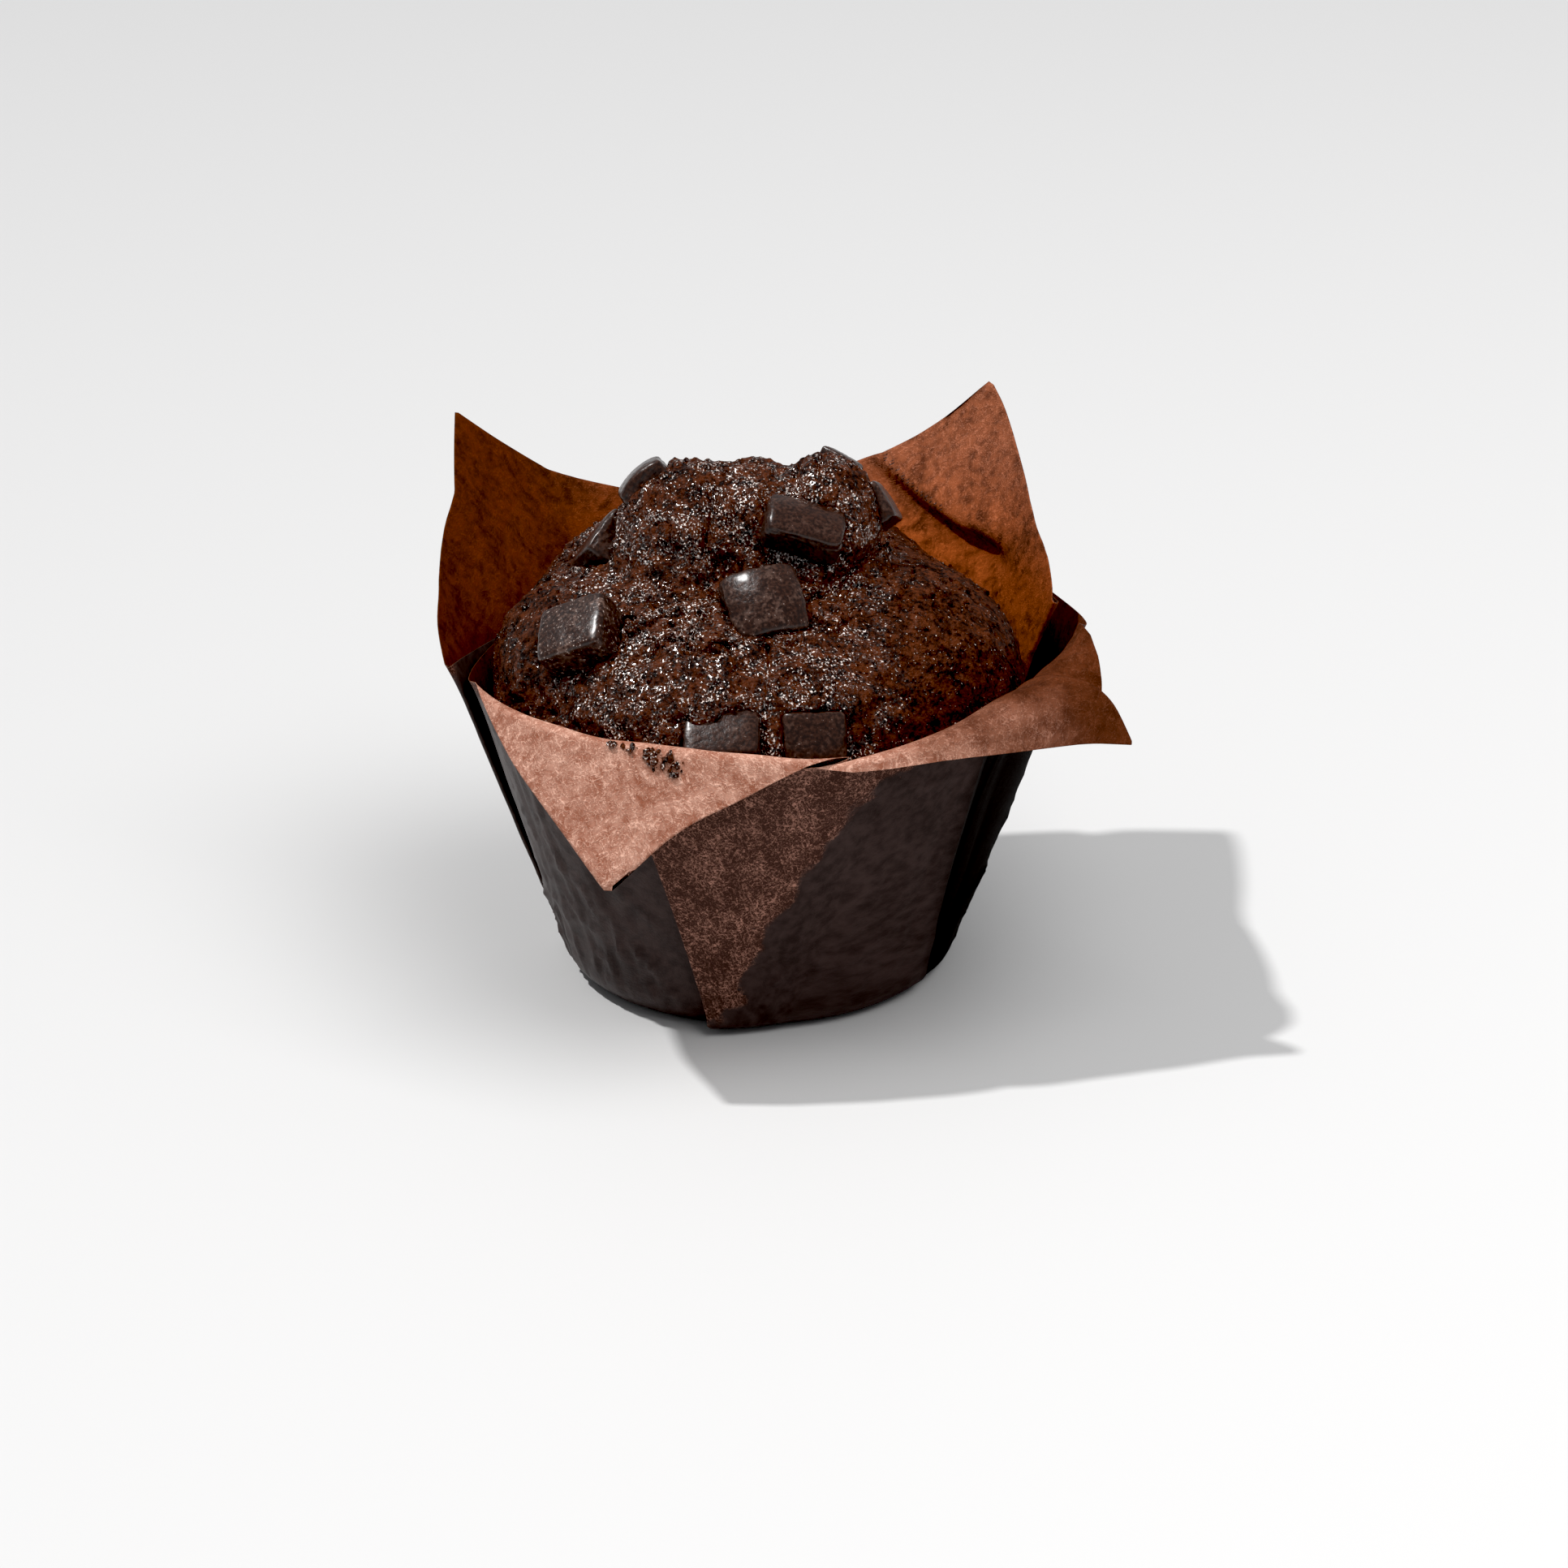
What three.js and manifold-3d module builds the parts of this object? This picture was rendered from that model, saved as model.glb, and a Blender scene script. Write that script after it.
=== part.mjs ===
// Double chocolate muffin baked in a square sheet of brown paper pressed into a tulip cup.
// Units are millimetres and +Z is up. The origin is the middle of the cup's base, on the table.

import * as THREE from 'three';
import { mergeVertices } from 'three/addons/utils/BufferGeometryUtils.js';
import Module from 'manifold-3d';

const wasm = await Module();
wasm.setup();

const DEG = Math.PI / 180;
const TINY = 1e-4;

// Paper sheet and cup
const SHEET_SIDE = 147.5;
const SHEET_TURN = -33;
const SHEET_OFFSET = { x: 0.8, y: 4.2 };
const PAPER_THICKNESS = 0.3;
const FLOOR_RADIUS = 23.4;
const HEEL_RADIUS = 5;
const WALL_FLARE = 17;
const HEEL_RUN = HEEL_RADIUS * (90 - WALL_FLARE) * DEG;
const RIM_RUN = 48.5;
const RIM_RADIUS = 41;

// A run is a length up the paper from the edge of the flat base. The wall is laid out in steps.
const RUN_STEP = 0.5;
const LONGEST_RUN = 90;
const LAYOUT_TOP_RUN = 62;
const LEAN_RUNS = { from: 43, to: 56 };
const SWING_RUNS = { from: 47, to: 76 };
const SWING_REACH = { after: 8, before: 42 };
const CORNER_SETTLE_RUN = 9;
const CREASE_FULL_RUN = 12;

// A pleat opens over its first runs and ends flat on the wall in a soft curve
const FOLD_RADIUS = 0.34;
const PLEAT_OPENS = { from: 0.3, to: 6 };
const PLEAT_FOOT_WIDTH = 0.3;
const PLEAT_SETTLE_RADIUS = 6;

// The front left petal folds over in a tight bend and hangs down. The front right one curls out
// along most of its length. Azimuths say where each bend fades in and out.
const FLAP = {
  turn: 137, bend: 3.8, start: 53.2, fadeIn: [190, 200], fadeOut: [284, 290], dropFrom: 258, drop: 0.075,
};
const CURL = {
  turn: 136, share: 0.8, shortest: 2, start: 51, fadeIn: [262, 280], fadeOut: [330, 352],
  riseFrom: 285, riseOver: 33, rise: 0.08,
};
const STANDING_START = 47;

// The lean that all layers share above the rim, in degrees: most at the back right petal, less at
// the back left one. Azimuths say where each fades in, eases off and fades out.
const LEANS = [
  { most: 25, fadeIn: [20, 60], easeBy: 0.3, ease: [66, 98], fadeOut: [98, 130] },
  { most: 21, fadeIn: [90, 120], easeBy: 0.5, ease: [150, 185], fadeOut: [188, 202] },
];

// Cake and chocolate
const CAKE_GAP = 0.65;
const DOME_FOOT = { radius: 39, height: 44 };
const DOME_CENTRE = { x: 0, y: 0, z: 42 };
const CHUNK_GAP = 0.3;

// The four gathered pleats, one in the middle of each side of the sheet. The crest is the outer
// fold line: its azimuth at the foot, and how far that drifts for each mm up the paper. An
// outer-first pleat has its outer layer on the side of the smaller azimuth.
const PLEATS = [
  { crest: 22, drift: 0.41, overlap: 0.48, opening: 156, landing: 20, outerFirst: true },
  { crest: 80, drift: 0.06, overlap: 0.47, opening: 177, landing: 4, outerFirst: false },
  { crest: 171, drift: 0.36, overlap: 0.42, opening: 177.5, landing: 6, outerFirst: true },
  { crest: 258, drift: -0.28, overlap: 0.59, opening: 178, landing: 8, outerFirst: false },
];

// The four corners of the sheet: angle on the sheet, azimuth at the foot and at the rim, how far
// the petal swings sideways beyond the rim, the height of the crease that runs up the wall below it
// and the number of divisions before and after it. Each follows the pleat of the same index.
const CORNERS = [
  { sheet: 58, foot: 58, rim: 52, swing: 4, crease: 0, before: 6, after: 4 },
  { sheet: 145, foot: 145, rim: 138, swing: 0, crease: 0, before: 3, after: 2 },
  { sheet: 235, foot: 232, rim: 243, swing: 3, crease: 0, before: 9, after: 5 },
  { sheet: 329, foot: 338, rim: 322, swing: 7, crease: 0.9, before: 4, after: 4 },
];

const FRONT_LEFT = 2;
const FRONT_RIGHT = 3;

// How finely the paper is divided
const FOLD_STEPS = { root: 3, middle: 2, crest: 3, outer: 4, settle: 1 };
const ROW_STEPS = [2, 4, 5, 4];
const LAST_ROWS = 3;

const smooth = (value, from, to) => {
  const t = Math.min(Math.max((value - from) / (to - from), 0), 1);
  return t * t * (3 - 2 * t);
};
const lerp = (a, b, t) => a + (b - a) * t;
const wholeTurn = (azimuth) => ((azimuth % 360) + 360) % 360;
const turnBetween = (a, b) => ((((a - b) % 360) + 540) % 360) - 180;

// Distance from the cup's axis to the free edge of the sheet, in a direction on the sheet
function edgeReach(angle) {
  let reach = Infinity;
  for (let side = 0; side < 4; side += 1) {
    const normal = (SHEET_TURN + 45 + 90 * side) * DEG;
    const facing = Math.cos(angle * DEG - normal);
    if (facing > TINY) {
      const shift = SHEET_OFFSET.x * Math.cos(normal) + SHEET_OFFSET.y * Math.sin(normal);
      reach = Math.min(reach, (SHEET_SIDE / 2 + shift) / facing);
    }
  }
  return reach;
}

// Radius of the plain cup wall after a run up the paper from the edge of the flat base
function wallRadius(run) {
  const heel = HEEL_RADIUS * Math.cos(WALL_FLARE * DEG);
  const onHeel = Math.min(run / HEEL_RUN, 1);
  return FLOOR_RADIUS + heel * onHeel + Math.max(run - HEEL_RUN, 0) * Math.sin(WALL_FLARE * DEG);
}

// The unrolled cross-section of a pleat: along is measured round the wall, out is away from it
function pleatSection(run, pleat) {
  const opening = pleat.opening * DEG * smooth(run, PLEAT_OPENS.from, PLEAT_OPENS.to);
  const middle = PLEAT_FOOT_WIDTH + pleat.overlap * run;
  const crestOut = FOLD_RADIUS * 2 * (1 - Math.cos(opening)) + middle * Math.sin(opening);
  const slope = Math.atan2(Math.max(crestOut, 0), middle + pleat.landing);
  const points = [{ along: 0, out: 0 }];
  let heading = 0;
  const last = () => points[points.length - 1];
  const bend = (radius, target, steps) => {
    const start = { ...last() };
    const from = heading;
    const sign = target >= from ? 1 : -1;
    for (let i = 1; i <= steps; i += 1) {
      const angle = lerp(from, target, i / steps);
      points.push({
        along: start.along + sign * radius * (Math.sin(angle) - Math.sin(from)),
        out: start.out - sign * radius * (Math.cos(angle) - Math.cos(from)),
      });
    }
    heading = target;
  };
  const straight = (distance, steps) => {
    const start = { ...last() };
    for (let i = 1; i <= steps; i += 1) {
      const travelled = distance * i / steps;
      points.push({
        along: start.along + travelled * Math.cos(heading),
        out: start.out + travelled * Math.sin(heading),
      });
    }
  };
  bend(FOLD_RADIUS, opening, FOLD_STEPS.root);
  straight(middle, FOLD_STEPS.middle);
  bend(FOLD_RADIUS, -slope, FOLD_STEPS.crest);
  const drop = last().out - PLEAT_SETTLE_RADIUS * (1 - Math.cos(slope));
  const descent = slope > TINY ? Math.max(drop / Math.sin(slope), 0) : middle + pleat.landing;
  straight(descent, FOLD_STEPS.outer);
  bend(PLEAT_SETTLE_RADIUS, 0, FOLD_STEPS.settle);
  const crest = points[FOLD_STEPS.root + FOLD_STEPS.middle + 1];
  const section = points.map((point) => ({
    along: point.along - crest.along,
    out: Math.max(point.out, 0),
  }));
  if (!pleat.outerFirst) return section;
  return section.reverse().map((point) => ({
    along: -point.along,
    out: point.out,
  }));
}

// Azimuth and outward offset of every column of the paper at one run up the wall
function ringLayout(run) {
  const radius = wallRadius(run);
  const folds = PLEATS.map((pleat) => {
    const azimuth = pleat.crest + pleat.drift * Math.min(run, RIM_RUN);
    return pleatSection(run, pleat).map((point) => ({
      azimuth: azimuth + point.along / radius / DEG,
      out: point.out,
    }));
  });
  const columns = [];
  folds.forEach((fold, index) => {
    const turn = index === 3 ? 360 : 0;
    const corner = CORNERS[index];
    const settled = (length) => 1 - Math.exp(-length / CORNER_SETTLE_RUN);
    const middle = lerp(corner.foot, corner.rim, settled(run) / settled(RIM_RUN));
    const start = fold[fold.length - 1].azimuth;
    const end = folds[(index + 1) % 4][0].azimuth + turn;
    fold.forEach((point, step) => {
      const layer = foldLayer(step, fold.length, PLEATS[index]);
      columns.push({ azimuth: point.azimuth, out: point.out, group: index, layer, step });
    });
    for (let step = 1; step < corner.before + corner.after; step += 1) {
      const past = step - corner.before;
      const azimuth = past < 0
        ? lerp(start, middle, step / corner.before)
        : lerp(middle, end, past / corner.after);
      const out = past === 0 ? corner.crease * Math.min(run / CREASE_FULL_RUN, 1) : 0;
      columns.push({ azimuth, out, group: index, layer: 'panel', step });
    }
  });
  return columns;
}

// Which side of a pleat a column belongs to: the panel before it, the middle layer or the one after
function foldLayer(step, count, pleat) {
  const place = pleat.outerFirst ? count - 1 - step : step;
  if (place <= 1) return pleat.outerFirst ? 'after' : 'before';
  if (place <= FOLD_STEPS.root + FOLD_STEPS.middle + 1) return 'middle';
  return pleat.outerFirst ? 'before' : 'after';
}

// Angle on the sheet of every column, from the length of paper between the four corners
function sheetAngles() {
  const ring = ringLayout(RIM_RUN);
  const reachOf = [];
  let length = 0;
  ring.forEach((column, index) => {
    if (index > 0) {
      const previous = ring[index - 1];
      const along = (column.azimuth - previous.azimuth) * DEG * RIM_RADIUS;
      length += Math.hypot(along, column.out - previous.out);
    }
    reachOf.push(length);
  });
  const first = ring[0];
  const lastColumn = ring[ring.length - 1];
  const total = length + (first.azimuth + 360 - lastColumn.azimuth) * DEG * RIM_RADIUS;
  const anchors = [];
  ring.forEach((column, index) => {
    if (column.layer === 'panel' && column.step === CORNERS[column.group].before) {
      anchors.push({ length: reachOf[index], angle: CORNERS[column.group].sheet });
    }
  });
  const lastAnchor = anchors[3];
  const loop = [{ length: lastAnchor.length - total, angle: lastAnchor.angle - 360 }, ...anchors];
  loop.push({ length: anchors[0].length + total, angle: anchors[0].angle + 360 });
  return reachOf.map((value) => {
    const k = loop.findIndex((anchor, i) => i > 0 && value <= anchor.length);
    const share = (value - loop[k - 1].length) / (loop[k].length - loop[k - 1].length);
    return lerp(loop[k - 1].angle, loop[k].angle, share);
  });
}

// Which petal a column belongs to: 0 back right, 1 back left, 2 front left, 3 front right, -1 none
function petalOf(column) {
  if (column.layer === 'panel' || column.layer === 'after') return column.group;
  if (column.layer === 'before') return (column.group + 3) % 4;
  return -1;
}

// Outward lean that all layers share at one azimuth above the rim
function sharedLean(azimuth) {
  const a = wholeTurn(azimuth);
  const leans = LEANS.map((lean) => {
    const eased = 1 - lean.easeBy * smooth(a, ...lean.ease);
    return lean.most * smooth(a, ...lean.fadeIn) * eased * (1 - smooth(a, ...lean.fadeOut));
  });
  return Math.max(...leans);
}

// Share of a front petal's bend that is present at an azimuth
function bendShare(petal, azimuth) {
  const a = wholeTurn(azimuth);
  return smooth(a, ...petal.fadeIn) * (1 - smooth(a, ...petal.fadeOut));
}

// Angle of the paper from the vertical, for a column that reaches the rim at an azimuth
function paperAngle(run, petal, azimuth, length) {
  let angle = WALL_FLARE + (90 - WALL_FLARE) * (1 - Math.min(run / HEEL_RUN, 1));
  angle += sharedLean(azimuth) * smooth(run, LEAN_RUNS.from, LEAN_RUNS.to);
  const bent = (bendLength) => Math.min(Math.max((run - foldStart(petal, azimuth)) / bendLength, 0), 1);
  if (petal === FRONT_LEFT) angle += FLAP.turn * bendShare(FLAP, azimuth) * bent(FLAP.bend);
  if (petal === FRONT_RIGHT) {
    const bendLength = Math.max(CURL.share * (length - foldStart(petal, azimuth)), CURL.shortest);
    angle += CURL.turn * bendShare(CURL, azimuth) * bent(bendLength);
  }
  return angle;
}

// Run up the paper at which a petal starts to fold outward
function foldStart(petal, azimuth) {
  const a = wholeTurn(azimuth);
  if (petal === FRONT_LEFT) return FLAP.start - FLAP.drop * Math.max(a - FLAP.dropFrom, 0);
  if (petal === FRONT_RIGHT) {
    return CURL.start + CURL.rise * Math.min(Math.max(a - CURL.riseFrom, 0), CURL.riseOver);
  }
  return STANDING_START;
}

// Runs at which a column is divided, closer together where it bends
function rowRuns(length, petal, azimuth) {
  const start = Math.min(foldStart(petal, azimuth), length - LAST_ROWS);
  const bendLength = petal === FRONT_LEFT ? FLAP.bend : CURL.share * (length - start);
  const end = Math.min(start + bendLength, length - LAST_ROWS / 2);
  const stops = [0, HEEL_RUN, start, end, length];
  const runs = [0];
  ROW_STEPS.forEach((steps, part) => {
    for (let i = 1; i <= steps; i += 1) runs.push(lerp(stops[part], stops[part + 1], i / steps));
  });
  return runs;
}

// The middle surface of the paper as rows of points, from the flat base up to the free edge
function paperSurface() {
  const rim = ringLayout(RIM_RUN);
  const angles = sheetAngles();
  const rings = [];
  for (let run = 0; run <= LONGEST_RUN; run += RUN_STEP) {
    rings.push(ringLayout(Math.min(run, LAYOUT_TOP_RUN)));
  }
  return rim.map((column, index) => {
    const length = edgeReach(angles[index]) - FLOOR_RADIUS;
    const petal = petalOf(column);
    const azimuth = column.azimuth;
    const path = [{ radius: FLOOR_RADIUS, height: PAPER_THICKNESS / 2 }];
    for (let run = 0; run < LONGEST_RUN; run += RUN_STEP) {
      const angle = paperAngle(run + RUN_STEP / 2, petal, azimuth, length) * DEG;
      const previous = path[path.length - 1];
      path.push({
        radius: previous.radius + RUN_STEP * Math.sin(angle),
        height: previous.height + RUN_STEP * Math.cos(angle),
      });
    }
    const corner = CORNERS[Math.max(petal, 0)];
    const fromCorner = turnBetween(angles[index], corner.sheet);
    const reach = fromCorner > 0 ? SWING_REACH.after : SWING_REACH.before;
    const fade = smooth(Math.abs(fromCorner), 0, reach);
    const swing = petal < 0 ? 0 : corner.swing * (1 - fade);
    return rowRuns(length, petal, azimuth).map((run) => {
      const cell = Math.min(Math.floor(run / RUN_STEP), path.length - 2);
      const share = run / RUN_STEP - cell;
      const lower = rings[cell][index];
      const upper = rings[cell + 1][index];
      const out = lerp(lower.out, upper.out, share);
      const radius = lerp(path[cell].radius, path[cell + 1].radius, share) + out;
      const height = lerp(path[cell].height, path[cell + 1].height, share);
      const swung = swing * smooth(run, SWING_RUNS.from, SWING_RUNS.to);
      const turn = lerp(lower.azimuth, upper.azimuth, share) + swung;
      return new THREE.Vector3(
        radius * Math.cos(turn * DEG),
        radius * Math.sin(turn * DEG),
        height,
      );
    });
  });
}

// Turns lists of points and triangles into an indexed geometry
function solidGeometry(points, triangles) {
  const geometry = new THREE.BufferGeometry();
  const values = new Float32Array(points.length * 3);
  points.forEach((point, index) => point.toArray(values, index * 3));
  geometry.setAttribute('position', new THREE.BufferAttribute(values, 3));
  geometry.setIndex(triangles);
  return geometry;
}

// The sheet as a closed solid: its two faces, the cut edge and the flat base
function paperGeometry() {
  const columns = paperSurface();
  const count = columns.length;
  const rows = columns[0].length;
  const inner = [];
  const outer = [];
  const up = new THREE.Vector3();
  const across = new THREE.Vector3();
  for (let row = 0; row < rows; row += 1) {
    for (let index = 0; index < count; index += 1) {
      const point = columns[index][row];
      const above = columns[index][Math.min(row + 1, rows - 1)];
      const below = columns[index][Math.max(row - 1, 0)];
      up.subVectors(above, below).normalize();
      const before = columns[(index + count - 1) % count][row];
      const after = columns[(index + 1) % count][row];
      const toPoint = new THREE.Vector3().subVectors(point, before).normalize();
      const fromPoint = new THREE.Vector3().subVectors(after, point).normalize();
      across.addVectors(toPoint, fromPoint).normalize();
      const normal = new THREE.Vector3().crossVectors(across, up).normalize();
      if (row === 0) normal.set(0, 0, -1);
      inner.push(point.clone().addScaledVector(normal, -PAPER_THICKNESS / 2));
      outer.push(point.clone().addScaledVector(normal, PAPER_THICKNESS / 2));
    }
  }
  const points = [...inner, ...outer];
  const outerStart = inner.length;
  const triangles = [];
  const quad = (a, b, c, d) => triangles.push(a, b, c, a, c, d);
  for (let row = 0; row < rows - 1; row += 1) {
    for (let index = 0; index < count; index += 1) {
      const next = (index + 1) % count;
      const a = row * count + index;
      const b = row * count + next;
      const c = (row + 1) * count + next;
      const d = (row + 1) * count + index;
      quad(outerStart + a, outerStart + b, outerStart + c, outerStart + d);
      quad(b, a, d, c);
    }
  }
  const top = (rows - 1) * count;
  points.push(new THREE.Vector3(0, 0, PAPER_THICKNESS), new THREE.Vector3(0, 0, 0));
  const innerMiddle = points.length - 2;
  const outerMiddle = points.length - 1;
  for (let index = 0; index < count; index += 1) {
    const next = (index + 1) % count;
    quad(outerStart + top + index, outerStart + top + next, top + next, top + index);
    triangles.push(innerMiddle, index, next);
    triangles.push(outerMiddle, outerStart + next, outerStart + index);
  }
  return solidGeometry(points, triangles);
}

// Repeatable noise from -1 to 1 that changes smoothly through space
function hash(x, y, z) {
  const value = Math.sin(x * 127.1 + y * 311.7 + z * 74.7) * 43758.5453;
  return 2 * (value - Math.floor(value)) - 1;
}
function noise(x, y, z) {
  const cell = [Math.floor(x), Math.floor(y), Math.floor(z)];
  const part = [x, y, z].map((value, axis) => {
    const t = value - cell[axis];
    return t * t * (3 - 2 * t);
  });
  let sum = 0;
  for (let corner = 0; corner < 8; corner += 1) {
    const step = [corner & 1, (corner >> 1) & 1, (corner >> 2) & 1];
    const weight = step.reduce((w, on, axis) => w * (on ? part[axis] : 1 - part[axis]), 1);
    sum += weight * hash(cell[0] + step[0], cell[1] + step[1], cell[2] + step[2]);
  }
  return sum;
}

// Lobes of the risen cake: centre and radii of each, in millimetres
const LOBES = {
  dome: { centre: [0, 0, 44], radii: [38, 38, 21] },
  'crown left': { centre: [-9, 1, 60], radii: [12, 14.5, 16.3] },
  'crown middle': { centre: [0, 1, 60], radii: [12, 13, 16.2] },
  'crown right': { centre: [9.5, 0, 60.5], radii: [10, 12, 16.8] },
  'right lobe': { centre: [20, -6, 46], radii: [18.5, 22, 16.5] },
  'left lobe': { centre: [-21, -5, 46], radii: [17, 20, 15.5] },
  'front lobe': { centre: [-5, -20, 47], radii: [22, 18, 14] },
  'back lobe': { centre: [8, 20, 46], radii: [21, 18, 15.5] },
  'back left lobe': { centre: [-14, 16, 48], radii: [17, 17, 16] },
};
const LOBE_BLEND = 0.9;
const LUMP_SIZE = 7.5;
const LUMP_HEIGHT = 0.9;
const LUMP_SEED = 5;
const CRAG_SIZE = 3.2;
const CRAG_HEIGHT = 0.5;
const CRAG_SEED = 9;
const SMOOTH_SIDE = { from: 20, over: 14, left: 0.35 };

// How far a lobe reaches along a direction from the middle of the dome
function lobeReach(direction, lobe) {
  const centre = new THREE.Vector3(...lobe.centre).sub(DOME_CENTRE);
  const radii = new THREE.Vector3(...lobe.radii);
  const d = direction.clone().divide(radii);
  const c = centre.divide(radii);
  const half = d.dot(c);
  const under = half * half - d.lengthSq() * (c.lengthSq() - 1);
  if (under < 0) return 0;
  return (half + Math.sqrt(under)) / d.lengthSq();
}

// Radius of a surface that runs inside the plain cup wall, a constant inset away from it
function cupRadius(height, inset) {
  const middle = HEEL_RADIUS + PAPER_THICKNESS / 2;
  const arc = HEEL_RADIUS - inset;
  const heelTop = middle - arc * Math.sin(WALL_FLARE * DEG);
  if (height < heelTop) {
    return FLOOR_RADIUS + Math.sqrt(Math.max(arc ** 2 - (middle - height) ** 2, 0));
  }
  return FLOOR_RADIUS + arc * Math.cos(WALL_FLARE * DEG) + (height - heelTop) * Math.tan(WALL_FLARE * DEG);
}

// Distance from the middle of the dome to the baked surface along a direction
function cakeReach(direction) {
  const reaches = Object.values(LOBES).map((lobe) => lobeReach(direction, lobe));
  const most = Math.max(...reaches);
  const sum = reaches.reduce((total, reach) => total + Math.exp((reach - most) / LOBE_BLEND), 0);
  let reach = most + LOBE_BLEND * Math.log(sum);
  const p = direction.clone().multiplyScalar(reach);
  const lumps = noise(p.x / LUMP_SIZE + LUMP_SEED, p.y / LUMP_SIZE, p.z / LUMP_SIZE);
  const crags = noise(p.x / CRAG_SIZE, p.y / CRAG_SIZE + CRAG_SEED, p.z / CRAG_SIZE);
  const craggy = smooth(SMOOTH_SIDE.from - p.x, 0, SMOOTH_SIDE.over);
  const rough = lerp(SMOOTH_SIDE.left, 1, craggy);
  reach += LUMP_HEIGHT * lumps * rough - CRAG_HEIGHT * Math.abs(crags) * rough;
  return reach;
}

// A point of the baked surface, kept clear of the paper
function cakePoint(azimuth, elevation) {
  const level = Math.cos(elevation);
  const direction = new THREE.Vector3(
    level * Math.cos(azimuth),
    level * Math.sin(azimuth),
    Math.sin(elevation),
  );
  const point = direction.clone().multiplyScalar(cakeReach(direction)).add(DOME_CENTRE);
  const most = cupRadius(point.z, CAKE_GAP);
  const radius = Math.hypot(point.x, point.y);
  if (radius > most) {
    point.x *= most / radius;
    point.y *= most / radius;
  }
  return point;
}

const CAKE_COLUMNS = 72;
const CAKE_DOME_ROWS = 24;
const CAKE_WALL_HEIGHTS = [0.82, 1.6, 3.6, 14, 25, 36];

// The cake as one closed solid: flat foot, wall moulded by the cup, and the risen top
function cakeGeometry() {
  const points = [new THREE.Vector3(0, 0, CAKE_WALL_HEIGHTS[0])];
  const rowStarts = [];
  CAKE_WALL_HEIGHTS.forEach((height) => {
    rowStarts.push(points.length);
    for (let i = 0; i < CAKE_COLUMNS; i += 1) {
      const azimuth = 2 * Math.PI * i / CAKE_COLUMNS;
      const radius = cupRadius(height, CAKE_GAP);
      points.push(new THREE.Vector3(radius * Math.cos(azimuth), radius * Math.sin(azimuth), height));
    }
  });
  const lowest = Math.atan2(DOME_FOOT.height - DOME_CENTRE.z, DOME_FOOT.radius);
  for (let row = 0; row < CAKE_DOME_ROWS; row += 1) {
    rowStarts.push(points.length);
    const elevation = lerp(lowest, Math.PI / 2, row / CAKE_DOME_ROWS);
    for (let i = 0; i < CAKE_COLUMNS; i += 1) {
      points.push(cakePoint(2 * Math.PI * i / CAKE_COLUMNS, elevation));
    }
  }
  points.push(cakePoint(0, Math.PI / 2));
  const summit = points.length - 1;
  const triangles = [];
  for (let i = 0; i < CAKE_COLUMNS; i += 1) {
    const next = (i + 1) % CAKE_COLUMNS;
    triangles.push(0, rowStarts[0] + next, rowStarts[0] + i);
    for (let row = 0; row < rowStarts.length - 1; row += 1) {
      const [low, high] = [rowStarts[row], rowStarts[row + 1]];
      triangles.push(low + i, low + next, high + next, low + i, high + next, high + i);
    }
    const last = rowStarts[rowStarts.length - 1];
    triangles.push(last + i, last + next, summit);
  }
  return solidGeometry(points, triangles);
}

// Chocolate pieces: where each sits as seen from the middle of the dome, how steeply its broad
// face looks up, its turn about that face, its size, and the share of its depth that is buried
const CHUNKS = [
  { azimuth: -54, elevation: 67.5, faceUp: 64, spin: -38, size: [11.5, 8, 5.5], buried: 0.38 },
  { azimuth: -86, elevation: 45, faceUp: 42, spin: 12, size: [11, 10.5, 8], buried: 0.4 },
  { azimuth: -140, elevation: 25.5, faceUp: 48, spin: 38, size: [11, 9.5, 7], buried: 0.3 },
  { azimuth: -77, elevation: 9, faceUp: 20, spin: -3, size: [9.5, 9, 6.5], buried: 0.84 },
  { azimuth: -97, elevation: 12, faceUp: 52, spin: 6, size: [10.8, 7.8, 6], buried: 0.84 },
  { azimuth: 170, elevation: 42, faceUp: 35, spin: 50, size: [12, 8.5, 6], buried: 0.45 },
  { azimuth: 167, elevation: 61.5, faceUp: 45, spin: 20, size: [9.5, 8, 5.5], buried: 0.62 },
  { azimuth: 24, elevation: 68, faceUp: 58, spin: 35, size: [5.5, 5, 4], buried: 0.66 },
  { azimuth: 1, elevation: 57.5, faceUp: 35, spin: 60, size: [6.5, 5.5, 4.5], buried: 0.62 },
  { azimuth: 62, elevation: 34, faceUp: 50, spin: 20, size: [12, 11, 7], buried: 0.4 },
  { azimuth: 108, elevation: 52, faceUp: 50, spin: 70, size: [11.5, 10, 7], buried: 0.45 },
  { azimuth: 118, elevation: 20, faceUp: 45, spin: -20, size: [11, 10, 6.5], buried: 0.5 },
];
const CHUNK_DIVISIONS = 3;
const CHUNK_SQUARENESS = 9;
const CHUNK_UNEVENNESS = 0.035;
const CHUNK_WAVES = 1.3;
const SEED_SPACING = 7;

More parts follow.
